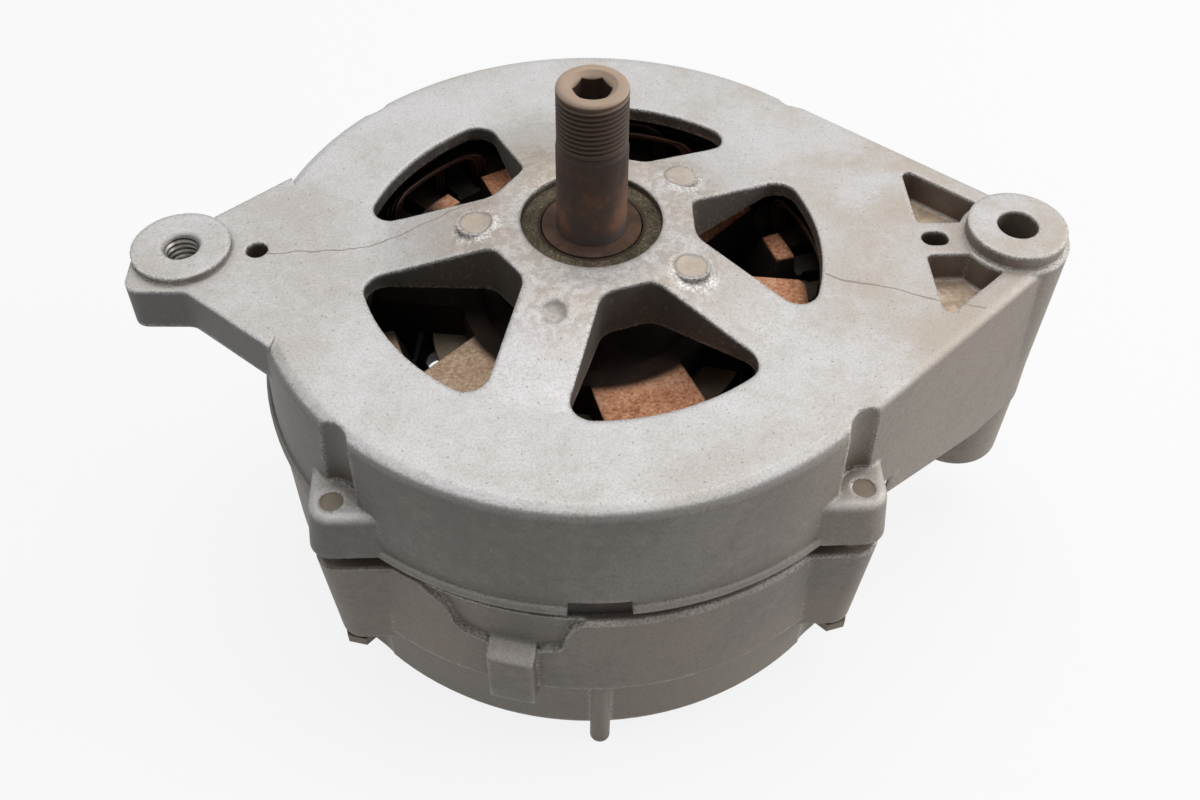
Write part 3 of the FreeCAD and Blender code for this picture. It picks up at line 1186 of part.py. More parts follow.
node("drive_end_frame", drive_end_frame())
node("slip_ring_end_frame", slip_ring_end_frame())
node("through_bolts", through_bolts())
node("stator_core", stator_core())
for phase, label in enumerate(("first_phase_winding", "second_phase_winding", "third_phase_winding")):
    node(label, stator_phase(phase))
rotor()
front_bearing()
bearing_retainer()
rear_bearing()
brush_gear()
regulator()
capacitor()
grounded_side()
live_side()


doc.recompute()
problems = [thing.Name for thing in doc.Objects if "Invalid" in thing.State or "Error" in thing.State]
print("failed", problems)
os.makedirs("parts", exist_ok=True)
for label, thing in NODES:
    shape = thing.Shape
    if shape.isNull() or not shape.isValid():
        raise RuntimeError(label + " has no valid shape")
    shape.exportStep("parts/%s.step" % label)
    print(label, "solids", len(shape.Solids), "volume %.0f" % shape.Volume)
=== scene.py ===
# %% [markdown]
# # A worn alternator
# This lesson dresses a finished model of an old alternator. Its size, joints and inner parts come
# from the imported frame. Here each part gets the surface that years of heat, oil and road dust gave
# it, and a few parts whose charm is in their fine shape are made again from formulas: the threaded
# shaft, the thread in the ear, the wound coils and the brush springs.

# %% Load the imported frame
import math
import bmesh
import bpy
import numpy as np
from mathutils import Matrix, Vector


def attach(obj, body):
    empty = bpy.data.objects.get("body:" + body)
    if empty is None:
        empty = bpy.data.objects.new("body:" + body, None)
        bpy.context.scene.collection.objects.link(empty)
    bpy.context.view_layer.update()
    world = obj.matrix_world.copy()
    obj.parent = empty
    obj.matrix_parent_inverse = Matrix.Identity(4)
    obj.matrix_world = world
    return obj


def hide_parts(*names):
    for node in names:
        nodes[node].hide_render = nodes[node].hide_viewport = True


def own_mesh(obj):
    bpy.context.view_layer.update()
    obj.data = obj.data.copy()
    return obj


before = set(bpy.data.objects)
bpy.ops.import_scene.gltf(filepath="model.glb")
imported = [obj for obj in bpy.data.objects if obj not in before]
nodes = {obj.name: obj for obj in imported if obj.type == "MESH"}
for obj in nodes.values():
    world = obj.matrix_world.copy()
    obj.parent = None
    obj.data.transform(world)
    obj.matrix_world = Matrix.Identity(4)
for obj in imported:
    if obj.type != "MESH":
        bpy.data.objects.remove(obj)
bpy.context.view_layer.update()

MM = 0.001


# %% [markdown]
# ## Shader maths as plain expressions
# A pattern is easier to read as a formula than as a web of nodes. `Field` wraps one output socket,
# so `a * 2 + b` adds the Math nodes that do it. `Finish` is a material being made, and its `add`
# makes every other node.

# %% A value that varies over a surface
class Field:
    """One output socket of a finish, with the operators that its formulas need."""

    def __init__(self, finish, socket):
        self.finish = finish
        self.socket = socket

    def math(self, operation, other=None):
        values = {0: self} if other is None else {0: self, 1: other}
        return self.finish.add("Math", values, operation=operation)

    def __add__(self, other):
        return self.math("ADD", other)

    def __sub__(self, other):
        return self.math("SUBTRACT", other)

    def __mul__(self, other):
        return self.math("MULTIPLY", other)

    def __truediv__(self, other):
        return self.math("DIVIDE", other)

    def __radd__(self, other):
        return self + other

    def __rsub__(self, other):
        return self.finish.add("Math", {0: other, 1: self}, operation="SUBTRACT")

    def __pow__(self, other):
        return self.math("POWER", other)

    def absolute(self):
        return self.math("ABSOLUTE")

    def least(self, other):
        return self.math("MINIMUM", other)

    def most(self, other):
        return self.math("MAXIMUM", other)

    def step(self, start, end):
        """A smooth change from 0 at start to 1 at end, whichever of the two is larger."""
        values = {"Value": self, "From Min": start, "From Max": end}
        return self.finish.add("MapRange", values, interpolation_type="SMOOTHSTEP")

    def step_mm(self, start, end):
        """The same for a length, with both ends in millimetres."""
        return self.step(start * MM, end * MM)


class Finish:
    """A material under construction."""

    def __init__(self, name):
        self.material = bpy.data.materials.new(name)
        self.material.use_nodes = True
        self.tree = self.material.node_tree
        self.tree.nodes.clear()
        self.place = self.add("TexCoord", out="Object")

    def add(self, kind, values=None, out=0, stops=None, **settings):
        """One node: its type, its settings, and the values or fields of its sockets."""
        made = self.tree.nodes.new("ShaderNode" + kind)
        for key, value in settings.items():
            setattr(made, key, value)
        if stops:
            ramp = made.color_ramp.elements
            while len(ramp) < len(stops):
                ramp.new(0.5)
            for element, (position, colour) in zip(ramp, stops):
                element.position = position
                element.color = (*colour, 1)
        for key, value in (values or {}).items():
            if isinstance(value, Field):
                self.tree.links.new(value.socket, made.inputs[key])
            else:
                made.inputs[key].default_value = value
        return Field(self, made.outputs[out]) if len(made.outputs) else None

    def noise(self, scale, detail=2.0, rough=0.5, twist=0.0):
        """Smooth noise from 0 to 1, at so many bumps per metre."""
        values = {"Vector": self.place, "Scale": scale, "Detail": detail, "Roughness": rough,
                  "Distortion": twist}
        return self.add("TexNoise", values)

    def cells(self, scale):
        """Distance to the nearest of scattered points, so many per metre."""
        return self.add("TexVoronoi", {"Vector": self.place, "Scale": scale}, out="Distance")

    def axes(self, where=None):
        """The three coordinates of a place."""
        split = self.add("SeparateXYZ", {0: where or self.place}).socket.node
        return [Field(self, socket) for socket in split.outputs]

    def plane(self, x, y):
        """The place with two coordinates, at height 0."""
        return self.add("CombineXYZ", {0: x, 1: y, 2: 0.0})

    def gap(self, first, second):
        """The distance between two places."""
        return self.add("VectorMath", {0: first, 1: second}, out="Value", operation="DISTANCE")

    def dot(self, first, second):
        """The dot product of two directions."""
        return self.add("VectorMath", {0: first, 1: second}, out="Value", operation="DOT_PRODUCT")

    def blend(self, factor, first, second):
        """A colour between two, by a factor."""
        return self.add("Mix", {0: factor, 6: self.colour(first), 7: self.colour(second)},
                        out=2, data_type="RGBA")

    def ramp(self, value, *stops):
        """A colour that runs through stops, each a value and its colour."""
        return self.add("ValToRGB", {0: value}, stops=stops)

    def cover(self, colour, *films):
        """A colour under films, each given by its share and its own colour."""
        for share, film in films:
            colour = self.blend(share, colour, film)
        return colour

    def colour(self, value):
        """A colour as a socket takes it."""
        return value if isinstance(value, Field) else (*value, 1)

    def bump(self, height, depth, normal, strength):
        """A normal tilted by a height field whose full range is so many metres."""
        values = {"Height": height, "Distance": depth, "Strength": strength}
        if normal is not None:
            values["Normal"] = normal
        return self.add("Bump", values)

    def crevice(self, reach, inside=False):
        """1 on open ground, less in corners (or, from inside, at edges) nearer than so many metres."""
        return self.add("AmbientOcclusion", {"Distance": reach}, out="AO", samples=6, inside=inside)

    def soft_edges(self, radius):
        """The surface's normal, rounded over at its edges."""
        return self.add("Bevel", {"Radius": radius}, samples=4)

    def finish(self, colour, roughness, metallic, normal, **constants):
        """The surface shader, from fields and constants."""
        values = {"Base Color": self.colour(colour), "Roughness": roughness, "Metallic": metallic,
                  "Normal": normal}
        for key, value in constants.items():
            values[key.replace("_", " ").title().replace("Ior", "IOR")] = value
        shader = self.add("BsdfPrincipled", values)
        self.add("OutputMaterial", {"Surface": shader})
        return self.material


def dress(material, *names):
    """Give CAD nodes a material."""
    for name in names:
        slots = nodes[name].data.materials
        slots.clear()
        slots.append(material)


# %% [markdown]
# ## Camera
# The photograph was taken from the front and well above. Its viewpoint was found by matching the
# shaft, the ring, the windows and both ears, and here it is simply written down.

# %% Camera
def look():
    """A camera at a fixed place in millimetres, turned by its three axes."""
    eye = Vector((-8.97, -232.02, 309.55))
    right = Vector((0.99899, -0.0423, 0.0150))
    up = Vector((0.0221, 0.7549, 0.6555))
    forward = Vector((0.0391, 0.6545, -0.7550))
    data = bpy.data.cameras.new("camera")
    camera = bpy.data.objects.new("camera", data)
    bpy.context.scene.collection.objects.link(camera)
    turn = Matrix((right, up, -forward)).transposed()
    camera.matrix_world = Matrix.Translation(eye * MM) @ turn.to_4x4()
    data.lens = 37.577
    data.sensor_width = 36
    data.shift_x = -0.00637
    data.shift_y = -0.00048
    data.clip_start = 0.01
    bpy.context.scene.camera = camera


look()

# %% [markdown]
# ## Light and floor
# Soft boxes above and at both sides light the casting, and the side that faces the viewer stays
# in its own shade, as in the photograph. The floor and the world look white only to the camera
# and in reflections. To all other rays the floor is plain matt and the world a faint bluish light.

# %% Light and floor
# Each lamp's place in metres, the height of the point on the axis that it faces, its width and watts.
LAMPS = {
    "above": ((0.05, 0.25, 1.3), 0.08, 1.1, 11.8),
    "from_right": ((1.2, 0.1, 0.5), 0.06, 0.8, 9),
    "from_left": ((-1.2, 0.1, 0.45), 0.06, 0.8, 0.5),
}


def softbox(name, place, height, width, watts):
    """A square area lamp that faces a point on the axis."""
    data = bpy.data.lights.new(name, "AREA")
    data.size = width
    data.energy = watts
    lamp = bpy.data.objects.new(name, data)
    bpy.context.scene.collection.objects.link(lamp)
    lamp.location = place
    aim = Vector((0, 0, height)) - Vector(place)
    lamp.rotation_euler = aim.to_track_quat("-Z", "Y").to_euler()


for label, settings in LAMPS.items():
    softbox(label, *settings)

bpy.context.scene.view_settings.view_transform = "Standard"
world = bpy.data.worlds.new("world")
bpy.context.scene.world = world
world.use_nodes = True
sky = world.node_tree
sky.nodes.clear()
MIRROR_RAYS = ("Is Glossy Ray", "Is Transmission Ray")


def world_node(kind, **values):
    """A node of the world, with its sockets set by name."""
    made = sky.nodes.new("ShaderNode" + kind)
    for key, value in values.items():
        made.inputs[key].default_value = value
    return made


rays = world_node("LightPath")
dim = world_node("Background", Color=(0.92, 0.95, 1, 1), Strength=0.12)
white = world_node("Background", Color=(1, 1, 1, 1), Strength=1)
mixed = world_node("MixShader")
shown = world_node("OutputWorld")
white_share = rays.outputs["Is Camera Ray"]
for kind in MIRROR_RAYS:
    either = world_node("Math")
    either.operation = "MAXIMUM"
    sky.links.new(white_share, either.inputs[0])
    sky.links.new(rays.outputs[kind], either.inputs[1])
    white_share = either.outputs[0]
sky.links.new(white_share, mixed.inputs[0])
sky.links.new(dim.outputs[0], mixed.inputs[1])
sky.links.new(white.outputs[0], mixed.inputs[2])
sky.links.new(mixed.outputs[0], shown.inputs[0])


def floor():
    """A pale round floor, near white to the camera, that keeps a soft shadow."""
    sides, radius, height, glow_share = 96, 6, -0.0004, 0.86
    angle = np.linspace(0, 2 * math.pi, sides, endpoint=False)
    rim = np.stack([radius * np.cos(angle), radius * np.sin(angle), np.full(sides, height)], axis=1)
    mesh = bpy.data.meshes.new("floor")
    mesh.from_pydata(rim.tolist(), [], [list(range(sides))])
    ground = bpy.data.objects.new("floor", mesh)
    bpy.context.scene.collection.objects.link(ground)
    paint = Finish("floor_paint")
    matt = paint.add("BsdfDiffuse", {"Color": (0.8, 0.8, 0.8, 1)})
    glow = paint.add("Emission", {"Color": (1, 1, 1, 1), "Strength": 1.0})
    seen = paint.add("LightPath", out="Is Camera Ray")
    for kind in MIRROR_RAYS:
        seen = seen.most(paint.add("LightPath", out=kind))
    both = paint.add("MixShader", {0: seen * glow_share, 1: matt, 2: glow})
    paint.add("OutputMaterial", {"Surface": both})
    mesh.materials.append(paint.material)


floor()

# %% [markdown]
# ## Cast aluminium
# Sand leaves a fine grain in a casting and handling polishes its edges. Upward faces are brighter
# than the walls, partly from handling and partly painted light, and the walls are dull with dust and
# painted shade. Dirt and painted shade darken the corners, found with ambient occlusion; edges are
# found by comparing the true normal with a rounded one, and upward faces by the normal's height. The
# front casting has three round marks, each in a groove of painted shade with a speckled painted
# highlight to one side, and two hairline cracks, each a polyline whose nearest distance gives a thin
# dark line.

# %% Cast aluminium
def nearest(gaps):
    """The least of several distances."""
    least, *others = gaps
    for gap in others:
        least = least.least(gap)
    return least


def line_distance(finish, where, points):
    """Least distance from a place to a polyline: to each run, less the part along it."""
    gaps = []
    for a, b in zip(points, points[1:]):
        run = (b[0] - a[0], b[1] - a[1], 0.0)
        square = run[0] ** 2 + run[1] ** 2
        offset = finish.add("VectorMath", {0: where, 1: (a[0], a[1], 0)}, operation="SUBTRACT")
        part = (finish.dot(offset, run) / square).most(0).least(1)
        reached = finish.add("VectorMath", {0: run, "Scale": part}, operation="SCALE")
        gaps.append(finish.gap(offset, reached))
    return nearest(gaps)


def spot_distance(finish, where, spots):
    """Least distance from a place to the nearest of some points."""
    return nearest([finish.gap(where, (x, y, 0)) for x, y in spots])


# The runs of both cracks, and the middles of the round marks on their circle.
CRACKS = [[(x * MM, y * MM) for x, y in crack] for crack in (
    [(-79, -1.4), (-71.4, -0.9), (-61.7, -0.4), (-54, 0.8), (-46, 3.4), (-37.6, 6.5), (-30, 9)],
    [(56.6, -12.1), (59.7, -14), (66.2, -15.9), (73.5, -18.1), (80.2, -21.1), (85.8, -22.9),
     (92.6, -24.8)])]
MARK_CIRCLE = 0.0283
MARKS = [(MARK_CIRCLE * math.cos(turn), MARK_CIRCLE * math.sin(turn))
         for turn in np.radians((36, 180, 324))]

# Colours of dirt, dust, bare metal, and painted light and shade on the castings.
CORNER_DIRT_AND_SHADE, OLD_STAIN, AXIS_WALL_SHADE = (0.125, 0.085, 0.055), (0.25, 0.195, 0.145), (0.045, 0.036, 0.03)
DARK_GRAIN, PALE_GRAIN, DIRTY_PIT = (0.11, 0.095, 0.082), (0.78, 0.77, 0.76), (0.12, 0.1, 0.085)
BROWN_DUST, LOW_DUST, BARE_METAL = (0.26, 0.195, 0.14), (0.25, 0.225, 0.19), (0.80, 0.80, 0.79)
RIGHT_PAINTED_LIGHT, LEFT_SHADE, INNER_GRIME_AND_SHADE = (0.37, 0.305, 0.255), (0.11, 0.11, 0.112), (0.085, 0.073, 0.063)
DARK_SAND, PALE_SAND, SHELF_SHADE = (0.42, 0.315, 0.225), (0.72, 0.57, 0.44), (0.17, 0.15, 0.13)
TAN_FILM, HUB_DUST, MARK_FILM = (0.42, 0.335, 0.25), (0.26, 0.205, 0.155), (0.43, 0.35, 0.275)
GROOVE_SHADE, CRACK_DIRT = (0.2, 0.165, 0.13), (0.15, 0.11, 0.085)


def cast_aluminium(name, bright, wall_dust_and_shade, front=False):
    """Sand cast aluminium with dust, worn edges, painted light and shade, and the marks that only the front
    casting has.
    """
    made = Finish(name)
    x, y, z = made.axes()
    reach = (x * x + y * y) ** 0.5
    rounded = made.soft_edges(1.8 * MM)
    true = made.add("NewGeometry", out="Normal")
    across, along = made.axes(true)[:2]
    outward = (across * x + along * y) / reach
    bend = made.dot(rounded, true)
    up = made.axes(rounded)[2]
    level = up.step(0.15, 0.9)

    # Noise, from wide clouds down to single grains, and small pits.
    clouds = made.noise(11, 3, 0.55, 0.4)
    patches = made.noise(38, 5, 0.66)
    sand = made.noise(330, 4, 0.75)
    specks = made.noise(900, 1, 0.5)
    grain = made.noise(1700, 2, 0.6)
    holes = made.cells(620).step(0.26, 0.06) * specks.step(0.52, 0.40)
    shade = patches * 0.35 + clouds * 0.4 + sand * 0.25

    # Walls are dull, with dust and painted shade. The front casting's have painted light at the right,
    # tan, and painted shade at the left, grey, and the rear casting's have brown dust, paler low down.
    side = made.blend(shade.step(0.4, 0.6), wall_dust_and_shade, [value * 1.5 for value in wall_dust_and_shade])
    if front:
        side = made.cover(side, (x.step_mm(8, 78) * (0.35 + sand * 0.5), RIGHT_PAINTED_LIGHT),
                          (x.step_mm(-35, -85) * 0.6, LEFT_SHADE))
    else:
        side = made.cover(side, (clouds.step(0.45, 0.62) * sand.step(0.35, 0.6) * 0.6, BROWN_DUST),
                          (z.step_mm(31, 27) * 0.5, LOW_DUST))

    # Upward faces are bright, partly painted light, in patches of a cooler and a darker, warmer tone.
    cool, warm = ([value * tint for value, tint in zip(bright, tints)]
                  for tints in ((1, 1.015, 1.045), (0.83, 0.81, 0.78)))
    colour = made.blend(level, side, made.blend(shade.step(0.4, 0.59), cool, warm))

    # Dirt and painted shade in corners, stains in wide hollows, grain, painted shade on walls that face
    # the axis, and pits.
    corner_dirt_and_shade = (1 - made.crevice(9 * MM)).step(0.14, 0.72) * (patches * 0.9 + 0.5).least(1)
    stain = (1 - made.crevice(28 * MM)).step(0.3, 0.85) * clouds.step(0.42, 0.62)
    # Walls that face the axis get painted shade.
    axis_wall_shade = outward.step(-0.25, -0.6) * reach.step_mm(42, 46) * reach.step_mm(84, 82) * z.step_mm(92, 88)
    colour = made.cover(
        colour, (corner_dirt_and_shade * 0.9, CORNER_DIRT_AND_SHADE), (stain * 0.5, OLD_STAIN),
        (grain.step(0.58, 0.36) * (0.26 - level * 0.08), DARK_GRAIN),
        (specks.step(0.66, 0.76) * (level * 0.08 + 0.05), PALE_GRAIN),
        (axis_wall_shade * 0.9, AXIS_WALL_SHADE), (holes * 0.45, DIRTY_PIT))
    worn = (1 - bend).step(0.012, 0.11) * patches.step(0.36, 0.58) * grain.step(0.34, 0.6)
    height = grain * 0.4 + patches * 1.6 - holes * 0.35

    if front:
        # Grime and painted shade on the windows' walls, sand in the foot's pockets, painted shade on the
        # low shelf, dust at the hub.
        inside = reach.step_mm(58, 57) * z.step_mm(70, 78) * up.absolute().step(0.85, 0.5)
        pocket = x.step_mm(73, 76) * z.step_mm(99, 97.5) * z.step_mm(78, 80)
        sandy = made.blend(sand.step(0.4, 0.6), DARK_SAND, PALE_SAND)
        # The low shelf's upward faces get painted shade.
        shelf = z.step_mm(72, 70)
        tan = reach.step_mm(50, 22).most(x.step_mm(20, 95)) * patches.step(0.34, 0.62)
        dusted = reach.step_mm(46, 30) * level * sand.step(0.56, 0.44)
        colour = made.cover(
            colour, (inside * (0.88 - specks.step(0.6, 0.72) * 0.35), INNER_GRIME_AND_SHADE),
            (pocket * level * (0.95 - holes * 0.5), sandy), (shelf * level * 0.75, SHELF_SHADE),
            (tan * level * 0.5, TAN_FILM), (dusted * 0.42, HUB_DUST))

        # Thin edges, found by looking inside the casting, are worn bare.
        rim = (1 - made.crevice(2.6 * MM, True)).step(0.22, 0.55) * sand.step(0.44, 0.6)
        rim = rim * grain.step(0.4, 0.6) * reach.step_mm(18, 21) * 0.75
        worn = worn.most(rim) * (1 - shelf * 0.8)

        # The round marks: a film on each, a groove of painted shade round it and a speckled painted
        # highlight a little to one side.
        mark = spot_distance(made, made.plane(x, y), MARKS)
        face = z.step_mm(98, 99)
        groove = mark.step_mm(3.3, 3.8) * mark.step_mm(4.4, 4.0) * face
        colour = made.cover(colour, (mark.step_mm(3.9, 3.2) * face * 0.6, MARK_FILM),
                            (groove * 0.5, GROOVE_SHADE))
        # The bright crescent beside each mark is a painted highlight, speckled like wear.
        shifted = made.plane(x - 0.6 * MM, y + 1.3 * MM)
        side_highlight = mark.step_mm(4.3, 4.8) * spot_distance(made, shifted, MARKS).step_mm(7, 4.6) * face
        worn = worn.most(side_highlight * grain.step(0.42, 0.58) * sand.step(0.42, 0.52))

        # The cracks sway a little and change their width.
        sway = (made.noise(160, 3, 0.6) - 0.5) * (2.6 * MM)
        swayed = made.plane(x + sway, y - sway)
        width = made.noise(90, 1) * (0.34 * MM) + 0.05 * MM
        near = nearest([line_distance(made, swayed, crack) for crack in CRACKS])
        line = (near / width).step(1.5, 0.5) * z.step_mm(96, 98)
        colour = made.blend(line * 0.6, colour, CRACK_DIRT)
        height = height - line * 0.5 - groove * 1.5

    colour = made.blend(worn * 0.7, colour, BARE_METAL)
    normal = made.bump(height, 0.15 * MM, rounded, 0.75)
    roughness = 0.5 + patches * 0.16 - worn * 0.12
    return made.finish(colour, roughness, level * 0.25 + 0.2, normal, specular_ior_level=0.4)


dress(cast_aluminium("front_casting", (0.56, 0.542, 0.527), (0.178, 0.164, 0.146), front=True),
      "drive_end_frame")
dress(cast_aluminium("rear_casting", (0.44, 0.41, 0.37), (0.185, 0.165, 0.143)), "slip_ring_end_frame")
print("castings dressed")

# %% [markdown]
# ## Rust, steel and the parts inside
# The claw poles are rough orange rust with pale patches of old varnish on their upper faces, and
# dark with grime and painted shade elsewhere. The shaft is darker, with a tan end face.

# %% Rust
# The claw in this direction is painted in shade.
SHADED_CLAW = math.radians(168.4)  # the direction of the one claw that is dark in the photograph
VARNISH, DARK_KHAKI, PALE_KHAKI = (0.62, 0.52, 0.41), (0.42, 0.315, 0.215), (0.70, 0.56, 0.42)
BLACK_GRIME_AND_SHADE, BROWN_GRIME_AND_SHADE, CREVICE_GRIME_AND_SHADE = (0.012, 0.008, 0.006), (0.035, 0.019, 0.013), (0.03, 0.02, 0.014)
BEARING_RUST, SEAT_GRIME, SCREW_FILM = (0.20, 0.075, 0.03), (0.022, 0.015, 0.011), (0.15, 0.105, 0.08)
END_FACE, SOCKET_GRIME_AND_SHADE = (0.42, 0.31, 0.23), (0.05, 0.03, 0.02)


def rusted_iron():
    """Grainy orange rust on the claws' upper faces, with tan film, and dark grime and painted shade on the
    rest.
    """
    made = Finish("rusted_iron")
    x, y, z = made.axes()
    reach = (x * x + y * y) ** 0.5
    patches = made.noise(55, 4, 0.6, 0.8)
    grain = made.noise(1300, 2, 0.7)
    crumbs = made.cells(900)
    tone = grain * 0.6 + patches * 0.4
    colour = made.ramp(tone, (0.36, (0.36, 0.14, 0.07)), (0.5, (0.70, 0.33, 0.185)),
                       (0.64, (0.84, 0.54, 0.38)))
    tan = (x + y * 0.5).step_mm(-18, -42)
    shaded = ((y * math.sin(SHADED_CLAW) + x * math.cos(SHADED_CLAW)) / reach).step(0.84, 0.9)
    khaki = made.blend(tone.step(0.38, 0.62), DARK_KHAKI, PALE_KHAKI)
    colour = made.cover(colour, (patches.step(0.60, 0.64) * 0.85, VARNISH), (tan * 0.8, khaki))
    up = made.axes(made.soft_edges(1.2 * MM))[2]
    # Rust shows only on upward faces of the outer claws; the rest, and the claw in shade, get grime and
    # painted shade.
    seen = up.step(0.25, 0.8) * reach.step_mm(33, 36) * z.step_mm(80, 81) * (1 - shaded * 0.95)
    grime_and_shade = made.blend(patches.step(0.4, 0.7), BLACK_GRIME_AND_SHADE, BROWN_GRIME_AND_SHADE)
    colour = made.blend(seen, grime_and_shade, colour)
    # Corners of the rotor get grime and painted shade, found with ambient occlusion.
    colour = made.blend((1 - made.crevice(6 * MM)).step(0.3, 0.85) * 0.7, colour, CREVICE_GRIME_AND_SHADE)
    height = grain * 0.8 + crumbs.step(0, 0.4) * 0.4 + patches.step(0.58, 0.64) * 0.9
    normal = made.bump(height, 0.22 * MM, made.soft_edges(1.6 * MM), 0.9)
    return made.finish(colour, 0.85, 0.0, normal, specular_ior_level=0.2)


def shaft_steel():
    """Dark brown rust film, orange near the bearing, tan on the end face, and grime and painted shade in the
    socket.
    """
    made = Finish("shaft_steel")
    x, y, z = made.axes()
    film = made.noise(75, 4, 0.65)
    streaks = made.noise(260, 3, 0.6, 0.5)
    grain = made.noise(2200, 2, 0.6)
    tone = film * 0.5 + streaks * 0.3 + grain * 0.2
    colour = made.ramp(tone, (0.36, (0.014, 0.008, 0.0055)), (0.52, (0.04, 0.021, 0.013)),
                       (0.68, (0.11, 0.058, 0.034)))
    low = z.step_mm(132, 112) * film.step(0.42, 0.62)
    foot = z.step_mm(112.5, 109.2) * (0.4 + streaks * 0.8)
    screw = z.step_mm(131.5, 133.5)
    up = made.axes(made.add("NewGeometry", out="Normal"))[2]
    cap = z.step_mm(144.6, 146.2) * up.step(0.05, 0.6)
    # The hex socket is darkened with grime and painted shade.
    inside = (x * x + y * y).step((5.4 * MM) ** 2, (4.2 * MM) ** 2) * z.step_mm(146.9, 145.6)
    colour = made.cover(
        colour, (low * 0.45, BEARING_RUST), (foot, SEAT_GRIME), (screw * 0.4, SCREW_FILM),
        (cap * (0.65 + film * 0.6), END_FACE), (inside * 0.75, SOCKET_GRIME_AND_SHADE))
    normal = made.bump(grain * 0.6 + streaks * 0.5, 0.06 * MM, made.soft_edges(0.25 * MM), 0.8)
    return made.finish(colour, 0.46 + film * 0.25, 0.15, normal, specular_ior_level=0.35)


def laminated_steel():
    """Thin dark sheets stacked along the axis, with a brown film."""
    made = Finish("laminated_steel")
    sheet = 0.6 * MM
    sheets = (made.axes()[2] * (2 * math.pi / sheet)).math("SINE")
    film = made.noise(90, 4, 0.6)
    colour = made.blend(film.step(0.4, 0.62), (0.035, 0.03, 0.027), (0.085, 0.06, 0.042))
    normal = made.bump(sheets * 0.5 + film, 0.09 * MM, None, 0.7)
    return made.finish(colour, 0.6, 0.4, normal)


def plain(name, first, second, roughness, metallic, scale=80, grain=0.04, edge=0.3):
    """Two tones of one colour in soft patches, with painted shade in corners, a fine grain and soft edges.
    """
    made = Finish(name)
    patches = made.noise(scale, 4, 0.6, 0.3)
    dust = made.noise(1400, 2, 0.6)
    colour = made.blend(patches.step(0.36, 0.66), first, second)
    # Corners get painted shade, found with ambient occlusion.
    corner_shade = [value * 0.3 for value in first]
    colour = made.blend((1 - made.crevice(4 * MM)).step(0.3, 0.9) * 0.7, colour, corner_shade)
    normal = made.bump(dust + patches, grain * MM, made.soft_edges(edge * MM), 0.7)
    return made.finish(colour, roughness + patches * 0.15, metallic, normal)


PHASES = ("first_phase_winding", "second_phase_winding", "third_phase_winding")
shaft_film = shaft_steel()
dress(rusted_iron(), "front_claw_pole", "rear_claw_pole", "rotor_core")
dress(shaft_film, "rotor_shaft")
dress(laminated_steel(), "stator_core")
dress(plain("bolt_steel", (0.17, 0.14, 0.11), (0.27, 0.225, 0.17), 0.55, 0.3), "through_bolts")
dress(plain("dull_steel", (0.28, 0.26, 0.24), (0.40, 0.38, 0.36), 0.4, 0.8), "retainer_screws",
      "brush_holder_screws", "regulator_screws", "capacitor_screw", "rear_bearing_plug",
      "bearing_retainer", "rotor_spacer", "output_nut", "output_washer", "phase_nuts", "capacitor_clamp")
dress(plain("bearing_steel", (0.055, 0.028, 0.017), (0.12, 0.066, 0.04), 0.85, 0.0, 220, 0.12),
      "front_bearing_inner_ring", "front_bearing_outer_ring")
dress(plain("bright_steel", (0.52, 0.52, 0.52), (0.62, 0.62, 0.62), 0.22, 1.0), "front_bearing_balls",
      "rear_bearing_cup", "rear_bearing_rollers", "rear_brush_spring", "front_brush_spring")
dress(plain("cage_brass", (0.42, 0.31, 0.15), (0.55, 0.42, 0.22), 0.35, 1.0), "front_bearing_cage",
      "rear_bearing_cage")
dress(plain("worn_copper", (0.42, 0.20, 0.11), (0.62, 0.34, 0.2), 0.3, 1.0), "rear_slip_ring",
      "front_slip_ring")
dress(plain("terminal_brass", (0.40, 0.32, 0.16), (0.56, 0.46, 0.24), 0.35, 0.9), "output_stud",
      "phase_studs", "regulator_blades", "negative_diodes", "positive_diodes")
dress(plain("sheet_metal", (0.30, 0.29, 0.27), (0.42, 0.40, 0.37), 0.5, 0.6), "negative_heat_sink",
      "positive_heat_sink", "regulator_base", "capacitor")
dress(plain("black_moulding", (0.016, 0.015, 0.014), (0.036, 0.033, 0.03), 0.5, 0.0), "brush_holder",
      "voltage_regulator", "slip_ring_hub", "diode_trio", "terminal_strip", "output_insulator")
dress(plain("pale_moulding", (0.30, 0.23, 0.15), (0.42, 0.33, 0.23), 0.6, 0.0), "field_bobbin")
dress(plain("brown_fibre", (0.12, 0.045, 0.025), (0.18, 0.07, 0.04), 0.6, 0.0), "rectifier_insulator")
dress(plain("carbon", (0.018, 0.018, 0.02), (0.035, 0.035, 0.038), 0.45, 0.2), "rear_brush", "front_brush")


def dusty_seal():
    """A dark seal under gritty olive dust, thicker towards its outer edge."""
    made = Finish("dusty_seal")
    x, y = made.axes()[:2]
    radius = (x * x + y * y) ** 0.5
    grit = made.noise(1500, 3, 0.7)
    drift = made.noise(130, 4, 0.65)
    colour = made.ramp(grit * 0.55 + drift * 0.45, (0.36, (0.032, 0.025, 0.016)),
                       (0.52, (0.105, 0.085, 0.055)), (0.68, (0.26, 0.21, 0.145)))
    dark_rim, pale_grit = (0.03, 0.018, 0.012), (0.6, 0.56, 0.48)
    rim = radius.step_mm(13.6, 13.0)
    sparks = made.noise(1900, 1).step(0.72, 0.78)
    colour = made.cover(colour, (rim * 0.75, dark_rim), (sparks * 0.6, pale_grit))
    normal = made.bump(grit + drift, 0.12 * MM, made.soft_edges(0.3 * MM), 0.9)
    return made.finish(colour, 0.8, 0.0, normal, specular_ior_level=0.2)


